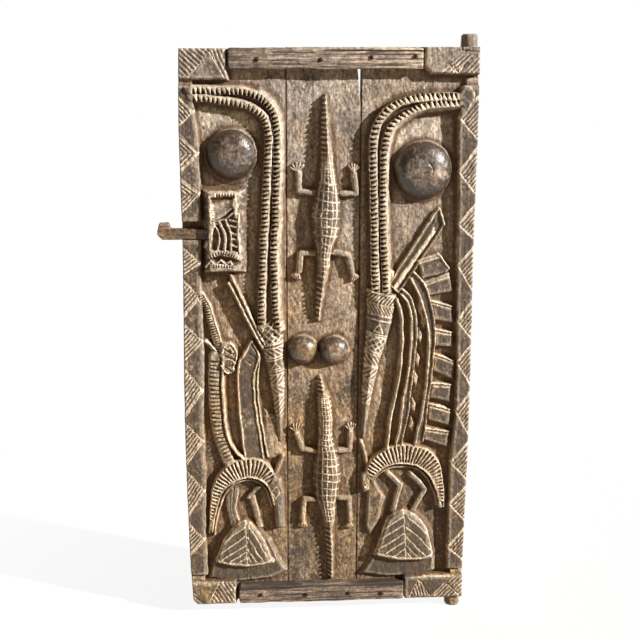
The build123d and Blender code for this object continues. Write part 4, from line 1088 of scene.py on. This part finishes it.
def wood(name, light, dark, grey, patina, pale, dirt_and_shade, along_grain, greyness, gloss=0.0, streak=0.5,
         ochre=None):
    """Weathered wood that is darker where it is oiled or dirty, with painted shade in its hollows and
    creases, and pale where hands wear it.
    """
    s = Shader(bpy.data.materials.new(name))
    long_way = {"x": (0.07, 1, 1), "z": (1, 1, 0.07)}[along_grain]
    speckle_way = {"x": (0.45, 1, 1), "z": (1, 1, 0.45)}[along_grain]
    plain = s.stretched((1, 1, 1))
    grain_place = s.stretched(long_way)
    grain = s.noise(grain_place, 330, 4, 0.6)
    coarse = s.noise(grain_place, 85, 3)
    mottle = s.noise(plain, 22, 4)
    patches = s.noise(plain, 6.5, 3)
    fine = s.noise(plain, 620, 3, 0.6)
    blots = s.noise(plain, 120, 4, 0.7)
    height = s.add("ShaderNodeSeparateXYZ", {"Vector": plain}).outputs["Z"]
    weather = s.math("ADD", s.fit(patches, 0.38, 0.65), s.fit(height, 0.3, 1.2, -0.45, 0.6))
    colour = s.blend(s.fit(mottle, 0.38, 0.62), srgb(*light), srgb(*dark))
    colour = s.blend(s.fit(weather, 0.0, 1.1, 0.0, greyness), colour, srgb(*grey))
    colour = s.blend(s.fit(blots, 0.5, 0.68, 0.0, 0.75), colour, srgb(*patina))
    colour = s.blend(s.fit(s.noise(plain, 300, 3, 0.7), 0.52, 0.68, 0.0, 0.6), colour, srgb(*pale))
    # the tone, with noise, turns the colour dark or pale: patina and wear, and in places painted shade and
    # painted highlights
    worn = s.math("ADD", s.value("tone"), s.fit(mottle, 0.3, 0.7, -0.22, 0.22))
    worn = s.math("ADD", worn, s.fit(fine, 0.3, 0.7, -0.14, 0.14))
    colour = s.blend(s.fit(worn, -0.12, -0.85), colour, srgb(*patina))
    if ochre:
        colour = s.blend(s.fit(height, 0.5, 1.15, 1.0, 0.1), colour, s.blend(1.0, colour, ochre, "MULTIPLY"))
    colour = s.blend(s.fit(worn, 0.12, 1.05), colour, srgb(*pale))
    # wear over 0 makes crests paler (edge wear); wear under 0 and the hollow value darken creases and
    # recesses with the dirt colour: dirt and painted shade
    edges = s.math("ADD", s.value("wear"), s.fit(fine, 0.3, 0.7, -0.2, 0.2))
    colour = s.blend(s.fit(edges, 0.3, 1.0, 0.0, 0.25), colour, srgb(*pale))
    colour = s.blend(s.fit(edges, -0.25, -1.0, 0.0, 0.55), colour, srgb(*dirt_and_shade))
    colour = s.blend(s.fit(s.value("hollow_dirt_and_shade"), 0.04, 0.8, 0.0, 0.85), colour, srgb(*dirt_and_shade))
    streaks = s.math("MULTIPLY", s.fit(grain, 0.3, 0.7, 1 - 0.5 * streak, 1 + 0.4 * streak),
                     s.fit(coarse, 0.32, 0.68, 1 - 0.4 * streak, 1 + 0.3 * streak))
    streaks = s.math("MULTIPLY", streaks, s.fit(fine, 0.3, 0.7, 0.74, 1.22))
    speckle = s.noise(s.stretched(speckle_way), 200, 2, 0.6)
    streaks = s.math("MULTIPLY", streaks, s.fit(speckle, 0.34, 0.66, 0.62, 1.42))
    streaks = s.math("MULTIPLY", streaks, s.fit(s.value("shine"), 0.0, 1.0, 1.0, 0.72))
    shade = s.add("ShaderNodeCombineColor", {0: streaks, 1: streaks, 2: streaks}).outputs[0]
    colour = s.blend(1.0, colour, shade, "MULTIPLY")
    rough = s.math("SUBTRACT", s.fit(fine, 0.3, 0.7, 0.66 - gloss, 0.84 - gloss),
                   s.math("MULTIPLY", s.value("shine"), 0.46))
    return s.close(colour, rough, [(blots, 0.6, 0.0016), (grain, 0.45, 0.0008), (fine, 0.35, 0.0005)],
                   specular=0.75)


CARVED = wood("carved_weathered_wood", (188, 154, 114), (124, 94, 62), (166, 152, 142), (87, 73, 60),
              (238, 220, 194), (98, 68, 34), "z", 1.0, ochre=(1.0, 0.965, 0.86, 1.0))
BATTEN = wood("grey_batten_wood", (176, 150, 128), (124, 101, 82), (146, 132, 122), (74, 60, 49),
              (220, 198, 174), (52, 36, 22), "x", 0.6, 0.0, 1.0)
BOLT = wood("worn_bolt_wood", (126, 98, 70), (84, 63, 43), (104, 85, 66), (58, 44, 31), (196, 164, 126),
            (50, 33, 20), "x", 0.3, 0.1, 1.0)


def rust(name):
    """Forged iron with old dark rust."""
    s = Shader(bpy.data.materials.new(name))
    plain = s.stretched((1, 1, 1))
    blotch, fine = s.noise(plain, 260, 4), s.noise(plain, 1400, 3)
    colour = s.blend(s.fit(blotch, 0.35, 0.65), srgb(46, 36, 29), srgb(78, 56, 40))
    colour = s.blend(s.fit(fine, 0.4, 0.75, 0.0, 0.7), colour, srgb(44, 34, 28))
    bumps = [(blotch, 0.5, 0.0006), (fine, 0.35, 0.0003)]
    return s.close(colour, s.fit(blotch, 0.3, 0.7, 0.55, 0.8), bumps, specular=0.4, metallic=0.35)


IRON = rust("forged_iron_rust")


def dress(obj, material, node, body):
    """Give an object its material, and its place in the frame."""
    obj.data.materials.append(material)
    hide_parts(node)
    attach(obj, body)


# ---------------------------------------------------------------- the three planks
# How far apart the grid's lines are
FINE, WIDE = 1.5, 1.62


def grid_rows(pitch, stops=()):
    """Grid lines up the door."""
    return with_edges(0.0, lines_between([(0.0, pitch), *stops, (DOOR_HEIGHT, None)]), DOOR_HEIGHT)


def left_edge(z):
    """The left plank's free edge, rounded off at its bottom corner."""
    radius = 15
    corner = radius - np.sqrt(np.maximum(radius ** 2 - np.clip(radius - z, 0, radius) ** 2, 0))
    return side_line(LEFT_SIDE, z) + corner + 0.5 + 0.5 * lumps(z, z, 26, 26, 4)


def right_edge(z):
    """The right plank's free edge."""
    return side_line(RIGHT_SIDE, z) - 0.5 - 0.5 * lumps(z, z, 24, 24, 9)


# The planks meet on these two lines, with a narrow gap, and a wedge is open beside the middle plank's top
LEFT_JOINT, RIGHT_JOINT, GAP = -102.5, 74.5, 0.04

left_rows = grid_rows(WIDE, [(CHANNEL_LOW - STEP, 1), (CHANNEL_LOW, WIDE), (TUNNEL_TOP, WIDE),
                             (CHANNEL_TOP, 1), (CHANNEL_TOP + STEP, WIDE)])
left_cols = with_edges(-350.0, lines_between([(-350, FINE), (CHANNEL_END, 1), (CHANNEL_END + STEP, 1.6),
                                              (ROOF_START, 1.6), (-103, None)]), -103.0)
left = build("left_plank_carved", *plank_mesh(
    left_cols, left_rows, left_edge, lambda z: np.full(len(z), LEFT_JOINT - GAP), carve_left, [LEFT_JOINT],
    tunnel=True, top_drop=3.5))
dress(left, CARVED, "left_plank", "door")

middle_cols = with_edges(-102.0, lines_between([(-102, FINE), (74, None)]), 74.0)
middle = build("middle_plank_carved", *plank_mesh(
    middle_cols, grid_rows(FINE), lambda z: np.full(len(z), LEFT_JOINT + GAP),
    lambda z: RIGHT_JOINT - GAP - 14 * np.clip((z - 1260) / 130, 0, 1), carve_middle,
    [LEFT_JOINT, RIGHT_JOINT]))
dress(middle, CARVED, "middle_plank", "door")

right_cols = with_edges(75.0, lines_between([(75, 1.55), (306, FINE), (350, None)]), 350.0)
right = build("right_plank_carved", *plank_mesh(
    right_cols, grid_rows(WIDE), lambda z: np.full(len(z), RIGHT_JOINT + GAP), right_edge, carve_right,
    [RIGHT_JOINT]), extra=[peg(1372, 1420, True), peg(-30, 18, False)])
dress(right, CARVED, "right_plank", "door")


# ---------------------------------------------------------------- battens
def rounding(t):
    """How far a round corner has drawn in, as a share of its radius, t radii from its end."""
    return 1 - math.sqrt(1 - max(0, 1 - t) ** 2)


def batten(name, x0, x1, z0, z1, seed, top_tone, rounded_left, scratches):
    """A batten worn at its edges, with grooves where the soft grain has gone."""
    y0, y1 = GROUND_Y - BATTEN_DEPTH, GROUND_Y
    xs = with_edges(x0, lines_between([(x0, 2.0), (x1, None)]), x1)
    # front, top, back and underside
    around = [(face, t) for face, count in enumerate((42, 14, 10, 14)) for t in
              np.linspace(0, 1, count, endpoint=False)]
    rings, tones, wears, hollows = [], [], [], []

    def wave(x, z, size, wave_seed):
        return lumps(np.array([x]), np.array([z]), size, 9, wave_seed)[0]

    for x in xs:
        pull = 3.0 * rounding(min(x - x0, x1 - x) / 3.2)
        inset = pull + rounded_left * rounding((x - x0) / rounded_left)
        lo = z0 + inset + 0.8 * (1 + wave(x, 0.0, 34, seed))
        hi = z1 - inset - 0.9 * (1 + wave(x, 40.0, 28, seed + 1))
        fy = y0 + pull
        ring = np.array([((fy, lo + (hi - lo) * t), (fy + (y1 - fy) * t, hi), (y1, hi + (lo - hi) * t),
                          (y1 + (fy - y1) * t, lo))[face] for face, t in around])
        # round the two front corners
        r = 4.0 + 2.0 * wave(x, 9.0, 22, seed + 2)
        for corner_z, sign in ((lo, 1), (hi, -1)):
            dy, dz = ring[:, 0] - fy, (ring[:, 1] - corner_z) * sign
            near = (dy < r) & (dz < r)
            v = np.stack([r - dy[near], r - dz[near]], -1)
            length = np.maximum(np.hypot(v[:, 0], v[:, 1]), 1e-6)
            push = np.minimum(1.0, r / length)
            ring[near, 0] = fy + r - v[:, 0] * push
            ring[near, 1] = corner_z + sign * (r - v[:, 1] * push)
        front = ring[:, 0] < fy + 12
        xx = np.full(len(ring), x)
        grain = lumps(xx, ring[:, 1], 90, 3.2, seed + 3)
        deep = np.clip(lumps(xx, ring[:, 1], 120, 4.2, seed + 4) - 0.22, 0, 1)
        deep = np.maximum(deep, np.clip(lumps(xx, ring[:, 1], 55, 2.8, seed + 6) - 0.42, 0, 1))
        for start, end_x, level in scratches:
            on = ease((x - start) / 6) * ease((end_x - x) / 6)
            deep = np.maximum(deep, 0.5 * on * ease(1.3 - np.abs(ring[:, 1] - level) / 1.5))
        dents = lumps(xx, ring[:, 1], 16, 9, seed + 5)
        ring[:, 0] += np.where(front, 0.45 * (1 + grain) + 3.4 * deep + 0.5 * (1 + dents), 0)
        inward = -np.sign(ring[:, 1] - (lo + hi) / 2)
        ring[:, 1] += np.where(~front & (ring[:, 0] < y1 - 1), inward * 0.4 * (1 + grain), 0)
        rings.append(np.stack([xx, ring[:, 0], ring[:, 1]], -1))
        hollows.append(np.clip(1.6 * deep, 0, 1) * front)
        t, u = (x - x0) / (x1 - x0), (ring[:, 1] - z0) / (z1 - z0)
        tones.append(top_tone(t, u) + 0.3 * dents + 0.35 * grain)
        edge = np.clip(1 - np.minimum(np.abs(ring[:, 1] - lo), np.abs(ring[:, 1] - hi)) / 4, 0, 1)
        wears.append(np.where(front, 0.55 * grain - 2.0 * deep, 0.0) + 0.5 * edge * front)
    verts, faces = skin(rings)
    verts -= (PIVOT_X, 0, 0)
    data = {"tone": np.concatenate(tones), "wear": np.clip(np.concatenate(wears), -1, 1),
            "shine": np.zeros(len(verts)), "hollow_dirt_and_shade": np.concatenate(hollows)}
    return build(name, verts, faces, data, sharp=60)


top = batten("top_batten_worn", -237, 216, 1339, 1389, 3, lambda t, u: -0.45 + 1.1 * t ** 1.5 + 0.3 * u,
             rounded_left=6.0,
             scratches=[(92, 206, 1373), (100, 198, 1362), (-140, -60, 1351), (10, 90, 1349)])
dress(top, BATTEN, "top_batten", "door")
bottom = batten("bottom_batten_worn", -229, 195, 0, 50, 9,
                lambda t, u: -0.12 - 0.9 * ease((u - 0.72) / 0.15) + 0.1 * t,
                rounded_left=7.0, scratches=[(90, 180, 36), (110, 178, 8), (-120, -40, 33), (-30, 60, 12)])
dress(bottom, BATTEN, "bottom_batten", "door")


# ---------------------------------------------------------------- nails
def tube(points, half_sizes):
    """A square bar through points, tapering from one size to the next."""
    rings = []
    for k, (p, half) in enumerate(zip(points, half_sizes)):
        a = Vector(points[max(k - 1, 0)])
        b = Vector(points[min(k + 1, len(points) - 1)])
        d = (b - a).normalized()
        u = Vector((1, 0, 0))
        v = d.cross(u).normalized()
        corners = [(1, 0.72), (0.72, 1), (-0.72, 1), (-1, 0.72), (-1, -0.72), (-0.72, -1), (0.72, -1),
                   (1, -0.72)]
        rings.append(np.array([tuple(Vector(p) + u * half * s + v * half * t) for s, t in corners]))
    return skin(rings)


def nail(x, z, bent, seed):
    """A forged nail with a hammered head, its point bent over behind the door, up (1) or down (-1)."""
    front = GROUND_Y - BATTEN_DEPTH
    x -= PIVOT_X
    turn = np.linspace(0, 2 * math.pi, 20, endpoint=False)
    rings = []
    # the head's rings: how far each stands out of the batten, and its radius
    for rise, r in ((-0.6, 4.8), (0.0, 5.4), (0.9, 5.6), (1.7, 5.0), (2.4, 3.6), (2.8, 1.8), (2.9, 0.4)):
        rr = r * (1 - 0.09 * (1 + lumps(turn * 6, np.full(20, float(seed)), 4.1, 3, seed % 7)) * (r > 1))
        flat = 0.25 * lumps(rr * np.cos(turn), rr * np.sin(turn) + seed, 3, 3, 4) * (r < 6)
        out = front - np.minimum(rise + flat, 2.9)
        rings.append(np.stack([x + rr * np.cos(turn), out, z + rr * np.sin(turn)], -1))
    behind = BACK_Y + 2.2
    path = [(x, front - 0.2, z), (x, 0, z), (x, BACK_Y - 0.5, z), (x, behind - 0.6, z + bent * 0.8),
            (x, behind, z + bent * 3.5), (x, behind - 0.2, z + bent * 10), (x, behind - 0.3, z + bent * 17.6)]
    return [skin(rings), tube(path, [1.9, 1.9, 1.85, 1.8, 1.75, 1.4, 0.5])]


def nail_set(name, node, places, bent, seed):
    """All the nails of one batten."""
    first, *rest = [part for k, (x, z) in enumerate(places) for part in nail(x, z, bent, seed + k)]
    dress(build(name, *first, {}, sharp=35, extra=rest), IRON, node, "door")


nail_set("top_nails_forged", "top_batten_nails", [(-170, 1362), (-23, 1361), (95, 1366), (197, 1368)], -1, 16)
nail_set("bottom_nails_forged", "bottom_batten_nails", [(-173, 24), (-56, 22), (53, 23), (138, 19)], 1, 19)


# ---------------------------------------------------------------- the bolt
def bolt():
    """The bolt with its upturned knob, rounded by hands."""
    low, high, tip, tail = 943.81, 970.81, -739.0, -597.0
    front_y, thickness = -0.023, 0.024
    side = [(tail, low), (tail, high), (tip + 32.5, high), (tip + 29, high + 14), (tip + 5, high + 14),
            (tip, high - 8), (tip, low + 12), (tip + 12, low)]
    bm = bmesh.new()
    near = [bm.verts.new((x / MM, front_y, z / MM)) for x, z in side]
    face = bm.faces.new(near)
    moved = bmesh.ops.extrude_face_region(bm, geom=[face])
    bmesh.ops.translate(bm, vec=(0, thickness, 0),
                        verts=[v for v in moved["geom"] if isinstance(v, bmesh.types.BMVert)])
    bmesh.ops.recalc_face_normals(bm, faces=bm.faces)
    bmesh.ops.bevel(bm, geom=list(bm.edges), offset=0.0028, segments=3, affect="EDGES", profile=0.6)
    mesh = bpy.data.meshes.new("bolt_block")
    bm.to_mesh(mesh)
    bm.free()
    obj = bpy.data.objects.new("bolt_block", mesh)
    bpy.context.scene.collection.objects.link(obj)
    remesh = obj.modifiers.new("remesh", "REMESH")
    remesh.mode = "VOXEL"
    remesh.voxel_size = 0.0012
    solid = bpy.data.meshes.new_from_object(obj.evaluated_get(bpy.context.evaluated_depsgraph_get()))
    bpy.data.objects.remove(obj)
    bm = bmesh.new()
    bm.from_mesh(solid)
    for _ in range(3):
        bmesh.ops.smooth_vert(bm, verts=bm.verts, factor=0.5, use_axis_x=True, use_axis_y=True,
                              use_axis_z=True)
    bm.normal_update()
    p = np.array([tuple(v.co) for v in bm.verts]) * MM
    n = np.array([tuple(v.normal) for v in bm.verts])
    across = np.where(np.abs(n[:, 1]) > 0.6, p[:, 2], p[:, 1])
    grain = lumps(p[:, 0], across, 60, 2.6, 3)
    deep = np.clip(lumps(p[:, 0], across, 90, 4.0, 5) - 0.45, 0, 1)
    dents = lumps3(p, 9, 4)
    p -= n * (0.28 * (1 + grain) + 2.2 * deep + 0.3 * (1 + dents))[:, None]
    faces = [[v.index for v in f.verts] for f in bm.faces]
    bm.free()
    tip_tone = 0.25 * np.clip((-690 - p[:, 0]) / 40, 0, 1) + 0.15 * dents
    data = {"tone": tip_tone, "wear": np.clip(0.6 * grain - 2.4 * deep, -1, 1),
            "shine": np.full(len(p), 0.3), "hollow_dirt_and_shade": np.zeros(len(p))}
    return build("lock_bolt_worn", p, faces, data, sharp=50)


dress(bolt(), BOLT, "lock_bolt", "bolt")

for name, material in (("outer_tumbler", IRON), ("inner_tumbler", IRON), ("tumbler_plugs", BOLT)):
    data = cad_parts[name].data
    data.materials.clear()
    data.materials.append(material)


# ---------------------------------------------------------------- floor, light and camera
def stage_floor():
    """A pale floor just under the lower pivot, which fades into the white around it."""
    mesh = bpy.data.meshes.new("floor")
    size, level = 14.0, -0.0302
    mesh.from_pydata([(-size, -size, level), (size, -size, level), (size, size, level), (-size, size, level)],
                     [], [(0, 1, 2, 3)])
    floor = bpy.data.objects.new("floor", mesh)
    bpy.context.scene.collection.objects.link(floor)
    s = Shader(bpy.data.materials.new("pale_floor"))
    place = s.add("ShaderNodeTexCoord", {}).outputs["Object"]
    speck = s.noise(place, 30, 2)
    tint = s.blend(s.fit(speck, 0.3, 0.7), srgb(240, 240, 239), srgb(244, 244, 243))
    away = s.add("ShaderNodeVectorMath", {0: place, 1: (-0.35, 0.0, 0.0)},
                 operation="DISTANCE").outputs["Value"]
    glow = s.add("ShaderNodeEmission", {"Color": (1, 1, 1, 1), "Strength": 1.0}).outputs[0]
    rays = s.add("ShaderNodeLightPath", {}).outputs
    mirrored = s.math("MAXIMUM", rays["Is Glossy Ray"], rays["Is Transmission Ray"])
    seen = s.math("MAXIMUM", rays["Is Camera Ray"], mirrored)
    tint = s.blend(seen, srgb(156, 140, 120), tint)
    matt = s.add("ShaderNodeBsdfDiffuse", {"Color": tint, "Roughness": 0.9}).outputs[0]
    amount = s.math("MULTIPLY", seen, s.fit(away, 0.4, 1.6, 0.9, 1.0))
    mixed = s.add("ShaderNodeMixShader", {0: amount, 1: matt, 2: glow}).outputs[0]
    s.add("ShaderNodeOutputMaterial", {"Surface": mixed})
    mesh.materials.append(s.owner)


stage_floor()

world = bpy.data.worlds.new("studio")
bpy.context.scene.world = world
sky = Shader(world)
rays = sky.add("ShaderNodeLightPath", {}).outputs
seen = sky.math("MAXIMUM", rays["Is Camera Ray"], rays["Is Transmission Ray"])
warm = sky.add("ShaderNodeBackground", {"Color": (1.0, 0.82, 0.58, 1), "Strength": 0.13}).outputs[0]
white = sky.add("ShaderNodeBackground", {"Color": (1, 1, 1, 1), "Strength": 1.0}).outputs[0]
mixed = sky.add("ShaderNodeMixShader", {0: seen, 1: warm, 2: white}).outputs[0]
sky.add("ShaderNodeOutputWorld", {"Surface": mixed})


def sun(name, towards, strength, angle, colour):
    """A lamp as far off as the sun, in that direction."""
    lamp = bpy.data.lights.new(name, "SUN")
    lamp.energy, lamp.angle, lamp.color = strength, math.radians(angle), colour
    obj = bpy.data.objects.new(name, lamp)
    obj.rotation_euler = Vector(towards).to_track_quat("Z", "Y").to_euler()
    bpy.context.scene.collection.objects.link(obj)


sun("key", (2.0, -1.0, 1.0), 6.9, 1.8, (1.0, 0.975, 0.94))
sun("back", (-0.45, 1.0, 0.45), 1.8, 25, (1.0, 0.98, 0.95))

IMAGE, FOCAL_PIXELS, SENSOR = 640, 1102.7, 36.0
camera_data = bpy.data.cameras.new("camera")
camera_data.sensor_width = SENSOR
camera_data.lens = SENSOR * FOCAL_PIXELS / IMAGE
camera = bpy.data.objects.new("camera", camera_data)
camera.location = (-0.551, -2.636, 1.342)
camera.rotation_euler = (math.radians(90 - 13.077), math.radians(0.04), math.radians(-3.547))
camera_data.shift_x, camera_data.shift_y = 0.025, 0.0068
bpy.context.scene.collection.objects.link(camera)
bpy.context.scene.camera = camera
bpy.context.scene.view_settings.view_transform = "Standard"
